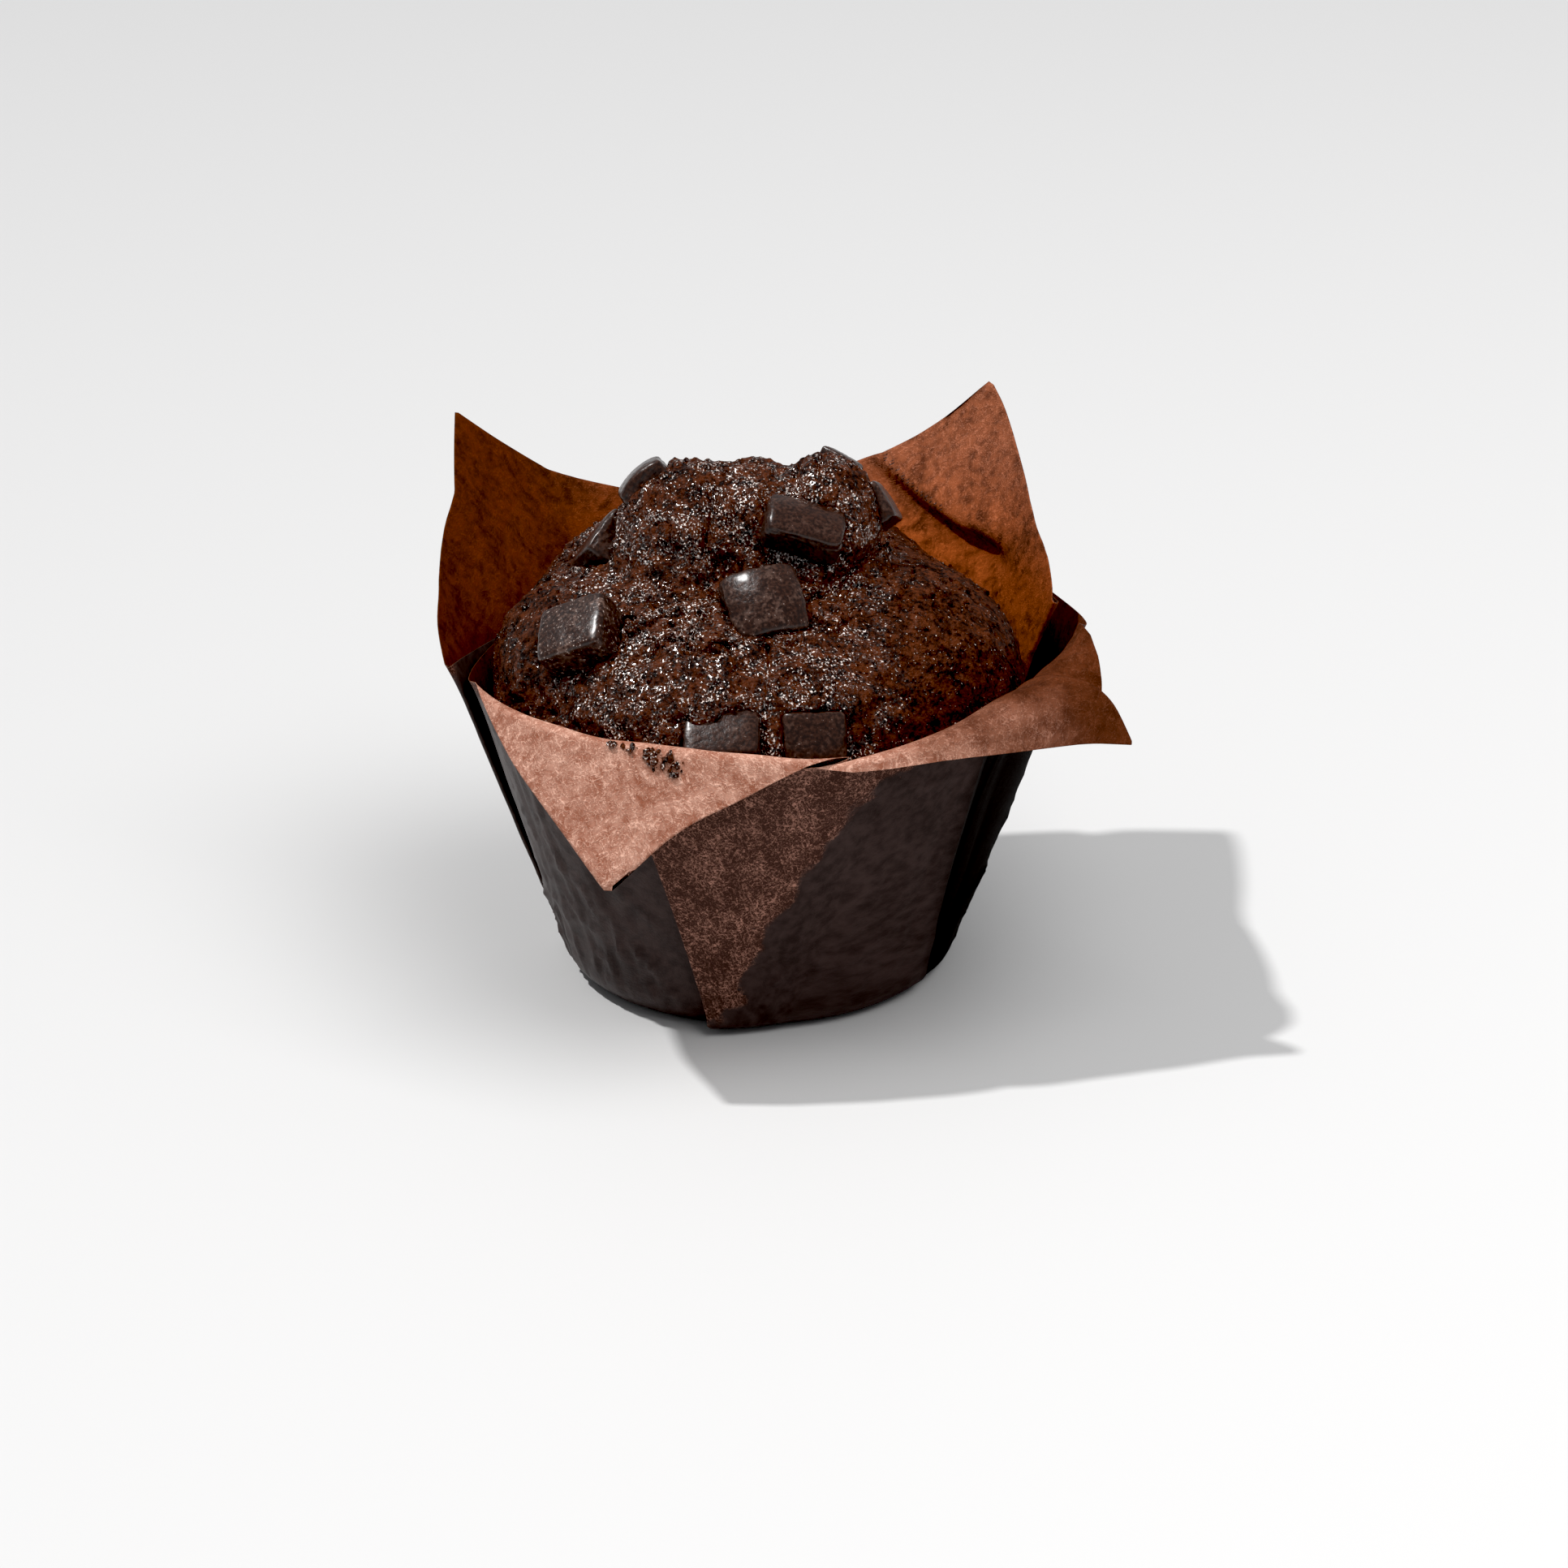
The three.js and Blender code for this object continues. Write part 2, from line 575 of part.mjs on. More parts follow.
// A snapped piece of chocolate: a block with softened edges and a slightly uneven surface
function chunkGeometry(size, seed, growth) {
  const grown = size.map((length) => length + 2 * growth);
  const box = new THREE.BoxGeometry(2, 2, 2, CHUNK_DIVISIONS, CHUNK_DIVISIONS, CHUNK_DIVISIONS);
  box.deleteAttribute('normal');
  box.deleteAttribute('uv');
  const geometry = mergeVertices(box, TINY);
  const place = geometry.attributes.position;
  for (let i = 0; i < place.count; i += 1) {
    const p = new THREE.Vector3().fromBufferAttribute(place, i);
    const sum = [p.x, p.y, p.z].reduce((total, v) => total + Math.abs(v) ** CHUNK_SQUARENESS, 0);
    const unit = p.clone().multiplyScalar(1 / sum ** (1 / CHUNK_SQUARENESS));
    const sample = unit.clone().multiplyScalar(CHUNK_WAVES);
    const uneven = noise(sample.x + seed * SEED_SPACING, sample.y, sample.z);
    unit.multiplyScalar(1 + CHUNK_UNEVENNESS * uneven);
    place.setXYZ(i, unit.x * grown[0] / 2, unit.y * grown[1] / 2, unit.z * grown[2] / 2);
  }
  return geometry;
}

// Where a chunk's middle is, and how it is turned
function chunkPlacement(chunk) {
  const point = cakePoint(chunk.azimuth * DEG, chunk.elevation * DEG);
  const level = Math.cos(chunk.faceUp * DEG);
  const face = new THREE.Vector3(
    level * Math.cos(chunk.azimuth * DEG),
    level * Math.sin(chunk.azimuth * DEG),
    Math.sin(chunk.faceUp * DEG),
  );
  const sideways = new THREE.Vector3(0, 0, 1).cross(face).normalize();
  const upward = face.clone().cross(sideways).normalize();
  const turn = new THREE.Matrix4().makeBasis(sideways, upward, face);
  turn.multiply(new THREE.Matrix4().makeRotationZ(chunk.spin * DEG));
  const position = point.addScaledVector(face, chunk.size[2] * (0.5 - chunk.buried));
  return { position, rotation: new THREE.Quaternion().setFromRotationMatrix(turn) };
}

function toManifold(geometry) {
  const merged = mergeVertices(geometry, TINY);
  return new wasm.Manifold(new wasm.Mesh({
    numProp: 3,
    vertProperties: new Float32Array(merged.attributes.position.array),
    triVerts: new Uint32Array(merged.index.array),
  }));
}

function fromManifold(solid) {
  const mesh = solid.getMesh();
  const geometry = new THREE.BufferGeometry();
  geometry.setAttribute('position', new THREE.BufferAttribute(mesh.vertProperties, 3));
  geometry.setIndex(Array.from(mesh.triVerts));
  return geometry;
}

function namedMesh(name, geometry, look) {
  geometry.computeVertexNormals();
  const mesh = new THREE.Mesh(geometry, new THREE.MeshStandardMaterial(look));
  mesh.name = name;
  return mesh;
}

const PAPER_LOOK = { color: '#4a2d20', roughness: 0.7, metalness: 0 };
const CAKE_LOOK = { color: '#2e1710', roughness: 0.6, metalness: 0 };
const CHOCOLATE_LOOK = { color: '#20130f', roughness: 0.45, metalness: 0 };

const muffin = new THREE.Group();
muffin.name = 'double_chocolate_muffin';
muffin.add(namedMesh('paper_wrap', paperGeometry(), PAPER_LOOK));

let cake = toManifold(cakeGeometry());
CHUNKS.forEach((chunk, index) => {
  const { position, rotation } = chunkPlacement(chunk);
  const name = `chocolate_chunk_${String(index + 1).padStart(2, '0')}`;
  const piece = namedMesh(name, chunkGeometry(chunk.size, index, 0), CHOCOLATE_LOOK);
  piece.position.copy(position);
  piece.quaternion.copy(rotation);
  muffin.add(piece);
  const socket = chunkGeometry(chunk.size, index, CHUNK_GAP);
  socket.applyMatrix4(new THREE.Matrix4().compose(position, rotation, new THREE.Vector3(1, 1, 1)));
  cake = cake.subtract(toManifold(socket));
});
muffin.add(namedMesh('muffin_cake', fromManifold(cake), CAKE_LOOK));

export default muffin;
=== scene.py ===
# %% [markdown]
# A double chocolate muffin in a square sheet of brown baking paper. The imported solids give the
# sizes and places. Here every solid gets a finer stand-in of the same form, with real folds,
# crust and broken chocolate, and then its finish.

# %% Load the frame
import itertools
import math

import bpy
import numpy as np
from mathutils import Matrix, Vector


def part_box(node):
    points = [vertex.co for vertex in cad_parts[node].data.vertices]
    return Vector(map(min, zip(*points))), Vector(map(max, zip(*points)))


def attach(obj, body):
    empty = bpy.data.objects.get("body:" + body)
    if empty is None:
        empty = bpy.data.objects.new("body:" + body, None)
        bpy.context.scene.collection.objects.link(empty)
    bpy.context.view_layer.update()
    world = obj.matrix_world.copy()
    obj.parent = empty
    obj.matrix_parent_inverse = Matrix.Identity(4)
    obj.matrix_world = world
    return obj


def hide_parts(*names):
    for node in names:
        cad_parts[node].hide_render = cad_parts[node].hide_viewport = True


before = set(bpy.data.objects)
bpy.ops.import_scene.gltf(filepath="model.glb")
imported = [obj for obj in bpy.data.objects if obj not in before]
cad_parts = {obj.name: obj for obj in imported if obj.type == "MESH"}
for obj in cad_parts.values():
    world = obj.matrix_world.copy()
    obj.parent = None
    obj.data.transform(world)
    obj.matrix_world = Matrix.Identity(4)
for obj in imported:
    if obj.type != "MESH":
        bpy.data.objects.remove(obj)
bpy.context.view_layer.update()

MM = 0.001
DEG = math.pi / 180
print("solids in the frame:", len(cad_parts))

# %% [markdown]
# The photograph was taken from 22 degrees above the table with a long lens. Working out where a
# point lands in the picture lets small things, such as crumbs, be put where they are seen.

# %% Camera
PHOTO_SIZE = 1932
FOCAL_PIXELS = 6119
CAMERA_PLACE = np.array([4.083, -671.705, 299.0])
PITCH_DOWN = 22.03 * DEG
SENSOR_WIDTH = 36

camera_data = bpy.data.cameras.new("camera")
camera_data.sensor_width = SENSOR_WIDTH
camera_data.lens = FOCAL_PIXELS / PHOTO_SIZE * SENSOR_WIDTH
camera_data.clip_end = 20
camera = bpy.data.objects.new("camera", camera_data)
camera.location = Vector(CAMERA_PLACE * MM)
camera.rotation_euler = (math.pi / 2 - PITCH_DOWN, 0, 0)
bpy.context.scene.collection.objects.link(camera)
bpy.context.scene.camera = camera


def photo_place(points):
    """Pixel of each point in millimetres, in the photograph's frame."""
    away = np.asarray(points, float) - CAMERA_PLACE
    down = -away[..., 1] * math.sin(PITCH_DOWN) - away[..., 2] * math.cos(PITCH_DOWN)
    depth = away[..., 1] * math.cos(PITCH_DOWN) - away[..., 2] * math.sin(PITCH_DOWN)
    across = PHOTO_SIZE / 2 + FOCAL_PIXELS * away[..., 0] / depth
    return np.stack([across, PHOTO_SIZE / 2 + FOCAL_PIXELS * down / depth], -1)


print("the middle of the base lands on pixel", photo_place([0, 0, 0]).round(1))

# %% [markdown]
# Lumps, wrinkles and crags all come from one kind of noise. It is worked out in Python so that
# the same numbers shape the mesh here and the solid in the source.

# %% Noise and blending
LATTICE_MIX = (127.1, 311.7, 74.7)
LATTICE_SPREAD = 43758.5453
TINY = 1e-9


def smooth(value, start, end):
    """Goes from 0 to 1 between start and end, level at both."""
    t = np.clip((np.asarray(value, float) - start) / (end - start), 0, 1)
    return t * t * (3 - 2 * t)


def between(value, fade_in, fade_out):
    """1 between two limits, with an easy change at each."""
    return smooth(value, *fade_in) * (1 - smooth(value, *fade_out))


def lerp(a, b, t):
    return a + (b - a) * t


def whole_turn(azimuth):
    return np.mod(azimuth, 360)


def lattice(x, y, z):
    """A number from -1 to 1 that looks random and is the same every time."""
    mixed_up = x * LATTICE_MIX[0] + y * LATTICE_MIX[1] + z * LATTICE_MIX[2]
    value = np.sin(mixed_up) * LATTICE_SPREAD
    return 2 * (value - np.floor(value)) - 1


def noise(x, y, z):
    """Repeatable noise from -1 to 1 that changes smoothly through space."""
    place = np.stack(np.broadcast_arrays(x, y, z)).astype(float)
    cell = np.floor(place)
    part = place - cell
    part = part * part * (3 - 2 * part)
    total = 0
    for corner in range(8):
        step = [corner & 1, (corner >> 1) & 1, (corner >> 2) & 1]
        weight = 1
        for axis in range(3):
            weight = weight * (part[axis] if step[axis] else 1 - part[axis])
        total = total + weight * lattice(*(cell[axis] + step[axis] for axis in range(3)))
    return total


def noise_at(points, size, shift=(0, 0, 0)):
    """Noise with features of this size, shifted so that no two uses look alike."""
    place = points / np.array(size) + np.array(shift)
    return noise(place[..., 0], place[..., 1], place[..., 2])


# %% Faces and pieces


def direction_of(vectors):
    return vectors / (np.linalg.norm(vectors, axis=-1, keepdims=True) + TINY)


def band(lower, upper):
    """Faces between two closed loops of points."""
    return np.stack([lower, np.roll(lower, -1), np.roll(upper, -1), upper], -1).tolist()


def fan(middle, loop):
    """Faces from one point to a closed loop of points."""
    return [(middle, here, after) for here, after in zip(loop.tolist(), np.roll(loop, -1).tolist())]


def net_faces(index):
    """Faces of a net of points, or of several nets."""
    return np.stack([index[..., :-1, :-1], index[..., 1:, :-1], index[..., 1:, 1:],
                     index[..., :-1, 1:]], -1)


def make_piece(name, points, faces):
    """A smooth mesh from points in millimetres, riding on the one body."""
    mesh = bpy.data.meshes.new(name)
    mesh.from_pydata((np.asarray(points) * MM).tolist(), [], [tuple(f) for f in faces])
    mesh.validate()
    mesh.shade_smooth()
    piece = bpy.data.objects.new(name, mesh)
    bpy.context.scene.collection.objects.link(piece)
    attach(piece, "root")
    return piece


# %% [markdown]
# The cup is one flat square of paper pushed into a mould. Its four sides gather into pleats and
# its four corners stand up as petals. Cloth simulation could crumple it, but would lose the
# folds that the photograph shows, so the sheet is worked out column by column up the wall.

# %% Sizes of the sheet
SHEET_SIDE = 147.5
SHEET_TURN = -33
SHEET_OFFSET = (0.8, 4.2)
FLOOR_RADIUS = 23.4
HEEL_RADIUS = 5
WALL_FLARE = 17
HEEL_RUN = HEEL_RADIUS * (90 - WALL_FLARE) * DEG
RIM_RUN = 48.5
RIM_RADIUS = 41
SOLID_THICKNESS = 0.3
PAPER_THICKNESS = 0.12
RUN_STEP = 0.5
LONGEST_RUN = 90
LAYOUT_TOP_RUN = 62
LEAN_RUNS = (43, 56)
SWING_RUNS = (47, 76)
SWING_AFTER = 8
SWING_BEFORE = 42
CORNER_SETTLE_RUN = 9
CREASE_FULL_RUN = 12
FOLD_RADIUS = 0.34
PLEAT_OPENS = (0.3, 6)
PLEAT_FOOT_WIDTH = 0.3
PLEAT_SETTLE_RADIUS = 6
LEANS = [
    dict(most=25, fade_in=(20, 60), ease_by=0.3, ease=(66, 98), fade_out=(98, 130)),
    dict(most=21, fade_in=(90, 120), ease_by=0.5, ease=(150, 185), fade_out=(188, 202)),
]
FRONT_LEFT = 2
FRONT_RIGHT = 3
PLEATS = [
    dict(crest=22, drift=0.41, overlap=0.48, opening=156, landing=20, outer_first=True),
    dict(crest=80, drift=0.06, overlap=0.47, opening=177, landing=4, outer_first=False),
    dict(crest=171, drift=0.36, overlap=0.42, opening=177.5, landing=6, outer_first=True),
    dict(crest=258, drift=-0.28, overlap=0.59, opening=178, landing=8, outer_first=False),
]
CORNERS = [
    dict(sheet=58, foot=58, rim=52, swing=4, crease=0, before=6, after=4),
    dict(sheet=145, foot=145, rim=138, swing=0, crease=0, before=3, after=2),
    dict(sheet=235, foot=232, rim=243, swing=3, crease=0, before=9, after=5),
    dict(sheet=329, foot=338, rim=322, swing=7, crease=0.9, before=4, after=4),
]
FLAP = dict(turn=137, bend=3.8, start=53.2, fade_in=(190, 200), fade_out=(284, 290))
FLAP_DROP = dict(azimuth=258, rate=0.075)
CURL = dict(turn=136, share=0.8, shortest=2, start=51, fade_in=(262, 280), fade_out=(330, 352))
CURL_RISE = dict(azimuth=285, over=33, rate=0.08)
STANDING_START = 47

# %% Where the pleats and corners lie round the cup
FOLD_STEPS = dict(root=7, middle=9, crest=7, outer=18, settle=3)
RIDGE_COLUMNS = 7
# columns laid before and after each corner for each one that the solid has there
PANEL_FINENESS = [(7, 12), (7, 7), (7, 7), (7, 7)]
STANDING_SHARE = 0.5
LAYER_GAP = 0.22


def edge_reach(angle):
    """Distance from the cup's axis to the free edge of the sheet."""
    reach = np.full(np.shape(angle), np.inf)
    for side in range(4):
        normal = (SHEET_TURN + 45 + 90 * side) * DEG
        facing = np.cos(angle * DEG - normal)
        shift = SHEET_OFFSET[0] * math.cos(normal) + SHEET_OFFSET[1] * math.sin(normal)
        side_reach = (SHEET_SIDE / 2 + shift) / np.where(facing > 1e-4, facing, 1e-9)
        reach = np.minimum(reach, side_reach)
    return reach


def wall_radius(run):
    heel = HEEL_RADIUS * math.cos(WALL_FLARE * DEG) * min(run / HEEL_RUN, 1)
    return FLOOR_RADIUS + heel + max(run - HEEL_RUN, 0) * math.sin(WALL_FLARE * DEG)


def pleat_section(run, pleat):
    """Cross-section of a pleat: place along the wall and out from it, counted from its crest."""
    opening = pleat["opening"] * DEG * float(smooth(run, *PLEAT_OPENS))
    middle = PLEAT_FOOT_WIDTH + pleat["overlap"] * run
    crest_out = FOLD_RADIUS * 2 * (1 - math.cos(opening)) + middle * math.sin(opening)
    slope = math.atan2(max(crest_out, 0), middle + pleat["landing"])
    points = [(0.0, 0.0)]
    heading = 0.0

    def bend(radius, target, steps):
        nonlocal heading
        along, out = points[-1]
        sign = 1 if target >= heading else -1
        for step in range(1, steps + 1):
            angle = lerp(heading, target, step / steps)
            points.append((along + sign * radius * (math.sin(angle) - math.sin(heading)),
                           out - sign * radius * (math.cos(angle) - math.cos(heading))))
        heading = target

    def straight(distance, steps):
        along, out = points[-1]
        for step in range(1, steps + 1):
            travelled = distance * step / steps
            points.append((along + travelled * math.cos(heading),
                           out + travelled * math.sin(heading)))

    bend(FOLD_RADIUS, opening, FOLD_STEPS["root"])
    straight(middle, FOLD_STEPS["middle"])
    bend(FOLD_RADIUS, -slope, FOLD_STEPS["crest"])
    drop = points[-1][1] - PLEAT_SETTLE_RADIUS * (1 - math.cos(slope))
    descent = max(drop / math.sin(slope), 0) if slope > 1e-4 else middle + pleat["landing"]
    straight(descent, FOLD_STEPS["outer"])
    bend(PLEAT_SETTLE_RADIUS, 0.0, FOLD_STEPS["settle"])
    section = np.array(points)
    # the solid's crest is the first third of its crest bend, counted in three steps
    crest_step = FOLD_STEPS["root"] + FOLD_STEPS["middle"] + round(FOLD_STEPS["crest"] / 3)
    # the outer layer stays outside the two it covers, then comes down past the root
    under = section[:FOLD_STEPS["root"] + FOLD_STEPS["middle"]][::-1]
    outer = section[crest_step + 2:]
    cover = np.interp(outer[:, 0], np.maximum.accumulate(under[:, 0]), under[:, 1],
                      right=2 * FOLD_RADIUS)
    past_root = smooth(outer[:, 0], FOLD_RADIUS, FOLD_RADIUS + max(pleat["landing"], 6))
    cover = (cover + LAYER_GAP) * (1 - past_root) * min(run / CREASE_FULL_RUN, 1)
    outer[:, 1] = np.where(outer[:, 0] > section[crest_step, 0] + 1, np.maximum(outer[:, 1], cover),
                           outer[:, 1])
    section[:, 0] -= section[crest_step, 0]
    section[:, 1] = np.maximum(section[:, 1], 0)
    if pleat["outer_first"]:
        section = section[::-1] * np.array([-1, 1])
    return section


def ring_layout(run):
    """Azimuth and outward offset of every column at one run up the wall."""
    radius = wall_radius(run)
    folds = []
    for pleat in PLEATS:
        section = pleat_section(run, pleat)
        crest = pleat["crest"] + pleat["drift"] * min(run, RIM_RUN)
        folds.append(np.column_stack([crest + section[:, 0] / radius / DEG, section[:, 1]]))
    rows = []
    for index, fold in enumerate(folds):
        rows.append(fold)
        corner = CORNERS[index]
        settled = 1 - math.exp(-run / CORNER_SETTLE_RUN)
        share = settled / (1 - math.exp(-RIM_RUN / CORNER_SETTLE_RUN))
        middle = lerp(corner["foot"], corner["rim"], share)
        end = folds[(index + 1) % 4][0, 0] + (360 if index == 3 else 0)
        before = corner["before"] * PANEL_FINENESS[index][0]
        after = corner["after"] * PANEL_FINENESS[index][1]
        first = np.linspace(fold[-1, 0], middle, before + 1)[1:]
        last = np.linspace(middle, end, after + 1)[1:-1]
        azimuth = np.concatenate([first, last])
        past = np.abs(np.arange(1, before + after) - before)
        ridge = np.clip(1 - past / RIDGE_COLUMNS, 0, 1)
        out = corner["crease"] * min(run / CREASE_FULL_RUN, 1) * ridge
        rows.append(np.column_stack([azimuth, out]))
    return np.concatenate(rows)


def column_kinds():
    """For each column: the petal it belongs to, its layer, and whether it is a corner."""
    petal, layer, corner_of = [], [], []
    count = 1 + sum(FOLD_STEPS.values())
    inner_end = FOLD_STEPS["root"] // 3
    middle_end = FOLD_STEPS["root"] + FOLD_STEPS["middle"] + round(FOLD_STEPS["crest"] / 3)
    for index, pleat in enumerate(PLEATS):
        for step in range(count):
            place = count - 1 - step if pleat["outer_first"] else step
            side = "inner" if place <= inner_end else "middle" if place <= middle_end else "outer"
            on_start_side = (side == "inner") != pleat["outer_first"]
            petal.append(-1 if side == "middle" else (index + 3) % 4 if on_start_side else index)
            layer.append(side)
            corner_of.append(-1)
        corner = CORNERS[index]
        before = corner["before"] * PANEL_FINENESS[index][0]
        for step in range(1, before + corner["after"] * PANEL_FINENESS[index][1]):
            petal.append(index)
            layer.append("panel")
            corner_of.append(index if step == before else -1)
    return np.array(petal), np.array(layer), np.array(corner_of)


petal_of, layer_of, corner_of = column_kinds()
rim_ring = ring_layout(RIM_RUN)
print("columns of paper:", len(rim_ring))

# %% Angle on the flat sheet of every column
ring_next = np.roll(rim_ring, -1, axis=0)
ring_next[-1, 0] += 360
ring_gaps = np.hypot((ring_next[:, 0] - rim_ring[:, 0]) * DEG * RIM_RADIUS,
                     ring_next[:, 1] - rim_ring[:, 1])
ring_lengths = np.concatenate([[0], np.cumsum(ring_gaps)[:-1]])
anchor_lengths = [float(ring_lengths[corner_of == k][0]) for k in range(4)]
anchor_angles = [corner["sheet"] for corner in CORNERS]
ring_total = float(ring_gaps.sum())
sheet_angles = np.interp(
    ring_lengths,
    [anchor_lengths[3] - ring_total, *anchor_lengths, anchor_lengths[0] + ring_total],
    [anchor_angles[3] - 360, *anchor_angles, anchor_angles[0] + 360])
column_lengths = edge_reach(sheet_angles) - FLOOR_RADIUS
print("paper up the wall: %.1f to %.1f mm" % (column_lengths.min(), column_lengths.max()))

# %% How the paper leans, folds over and curls
column_azimuth = rim_ring[:, 0]
turned = whole_turn(column_azimuth)


def shared_lean(a):
    """Outward lean above the rim at one azimuth, in degrees."""
    leans = [lean["most"] * between(a, lean["fade_in"], lean["fade_out"])
             * (1 - lean["ease_by"] * smooth(a, *lean["ease"])) for lean in LEANS]
    return np.maximum(*leans)


def bend_share(bend):
    return between(turned, bend["fade_in"], bend["fade_out"])


flap_start = FLAP["start"] - FLAP_DROP["rate"] * np.maximum(turned - FLAP_DROP["azimuth"], 0)
curl_rise = np.clip(turned - CURL_RISE["azimuth"], 0, CURL_RISE["over"])
curl_start = CURL["start"] + CURL_RISE["rate"] * curl_rise
fold_start = np.where(petal_of == FRONT_LEFT, flap_start,
                      np.where(petal_of == FRONT_RIGHT, curl_start, STANDING_START))
curl_length = np.maximum(CURL["share"] * (column_lengths - fold_start), CURL["shortest"])


def paper_angle(run):
    """Angle of the paper from the vertical, for every column at one run."""
    upright = WALL_FLARE + (90 - WALL_FLARE) * (1 - min(run / HEEL_RUN, 1))
    angle = np.full(len(turned), float(upright))
    angle += shared_lean(turned) * smooth(run, *LEAN_RUNS)
    over = np.clip((run - fold_start) / FLAP["bend"], 0, 1)
    angle += np.where(petal_of == FRONT_LEFT, FLAP["turn"] * bend_share(FLAP) * over, 0)
    curled = np.clip((run - fold_start) / curl_length, 0, 1)
    return angle + np.where(petal_of == FRONT_RIGHT, CURL["turn"] * bend_share(CURL) * curled, 0)


runs_up = np.arange(0, LONGEST_RUN + RUN_STEP / 2, RUN_STEP)
wall_layout = np.array([ring_layout(min(run, LAYOUT_TOP_RUN)) for run in runs_up])
steps_up = np.array([paper_angle(run + RUN_STEP / 2) for run in runs_up[:-1]]) * DEG
start_row = np.zeros((1, len(turned)))
path_radius = FLOOR_RADIUS + np.concatenate([start_row, np.cumsum(RUN_STEP * np.sin(steps_up), 0)])
path_height = SOLID_THICKNESS / 2 + np.concatenate(
    [start_row, np.cumsum(RUN_STEP * np.cos(steps_up), 0)])
print("highest paper: %.1f mm" % path_height.max())

# %% Points of the sheet, row by row
ROW_STEPS = [6, 46, 24, 24]
LAST_ROWS = 3
row_fold = np.minimum(fold_start, column_lengths - LAST_ROWS)
row_share = np.where(petal_of == FRONT_RIGHT, CURL["share"], STANDING_SHARE)
row_bend = np.where(petal_of == FRONT_LEFT, FLAP["bend"], row_share * (column_lengths - row_fold))
row_end = np.minimum(row_fold + row_bend, column_lengths - LAST_ROWS / 2)
row_stops = np.stack([np.zeros(len(turned)), np.full(len(turned), HEEL_RUN), row_fold, row_end,
                      column_lengths])
sheet_runs = [row_stops[0]]
for part, steps in enumerate(ROW_STEPS):
    sheet_runs += [lerp(row_stops[part], row_stops[part + 1], i / steps) for i in range(1, steps + 1)]
sheet_runs = np.array(sheet_runs)

corner_sheet = np.array([CORNERS[max(p, 0)]["sheet"] for p in petal_of])
from_corner = np.mod(sheet_angles - corner_sheet + 180, 360) - 180
swing_reach = np.where(from_corner > 0, SWING_AFTER, SWING_BEFORE)
swing_full = np.array([0 if p < 0 else CORNERS[p]["swing"] for p in petal_of])
column_swing = swing_full * (1 - smooth(np.abs(from_corner) / swing_reach, 0, 1))

cells = np.clip(np.floor(sheet_runs / RUN_STEP).astype(int), 0, len(runs_up) - 2)
cell_share = sheet_runs / RUN_STEP - cells
column_index = np.broadcast_to(np.arange(len(turned)), cells.shape)


def at_runs(table):
    """Reads a table of step by column at every point of the sheet."""
    return lerp(table[cells, column_index], table[cells + 1, column_index], cell_share)


sheet_azimuth = at_runs(wall_layout[:, :, 0]) + column_swing * smooth(sheet_runs, *SWING_RUNS)
sheet_radius = at_runs(path_radius) + at_runs(wall_layout[:, :, 1])
sheet_height = at_runs(path_height)
print("sheet points:", sheet_runs.size)

# %% [markdown]
# Pressed paper is never smooth. Long thin wrinkles run up the wall, short crumples gather above
# the heel, and the back right petal has a dent. Layers that lie on each other share the same
# wrinkles, because the depth is taken from where a point is, not from which layer it is on.

# %% Wrinkles
WRINKLE_DEPTH = 0.27
CREASE_DEPTH = 0.55
CRUMPLE_DEPTH = 0.75
PETAL_WAVE_DEPTH = 0.55
SWAY = 0.16
CREASE_SLANT = 0.02
CREASE_SHARPNESS = 7
CRUMPLE_SHARPNESS = 5
CRUMPLE_LEVEL = 0.4
# for each kind: waves between the axis and the wall, height of one in millimetres, and a shift
WALL_WAVES = dict(
    sway=(3, 16), patches=(3, 14, (6, 0, 0)), long=(24, 30), short=(50, 20, (3, 0, 0)),
    creases=(7, 9, (0, 2, 0)), crumples=(10, 3.4, (0, 4, 0)), petals=(4, 12, (0, 0, 7)))
WRINKLED_LEFT = ((170, 200), (235, 252))
CRUMPLED_RUNS = ((3, 8), (12, 26))
PATCH_RANGE = (-0.35, 0.4)
WALL_START = (2, 8)
WALL_END = (42, 56)
PETAL_START = (50, 64)
DENT_DEPTH = 1.9
DENT_PIXELS = 21
DENT_LINE = dict(across=[1060, 1085, 1115, 1150, 1190, 1235], down=[560, 568, 600, 630, 655, 672])
DENT_ENDS = ((1060, 1105), (1215, 1250))
DENT_AZIMUTHS = (30, 110)
DENT_START = (47, 53)


def wall_noise(angle, height, kind):
    waves, tallness, *shift = WALL_WAVES[kind]
    return noise_at(np.stack([np.cos(angle) * waves, np.sin(angle) * waves, height / tallness], -1),
                    1, *shift)


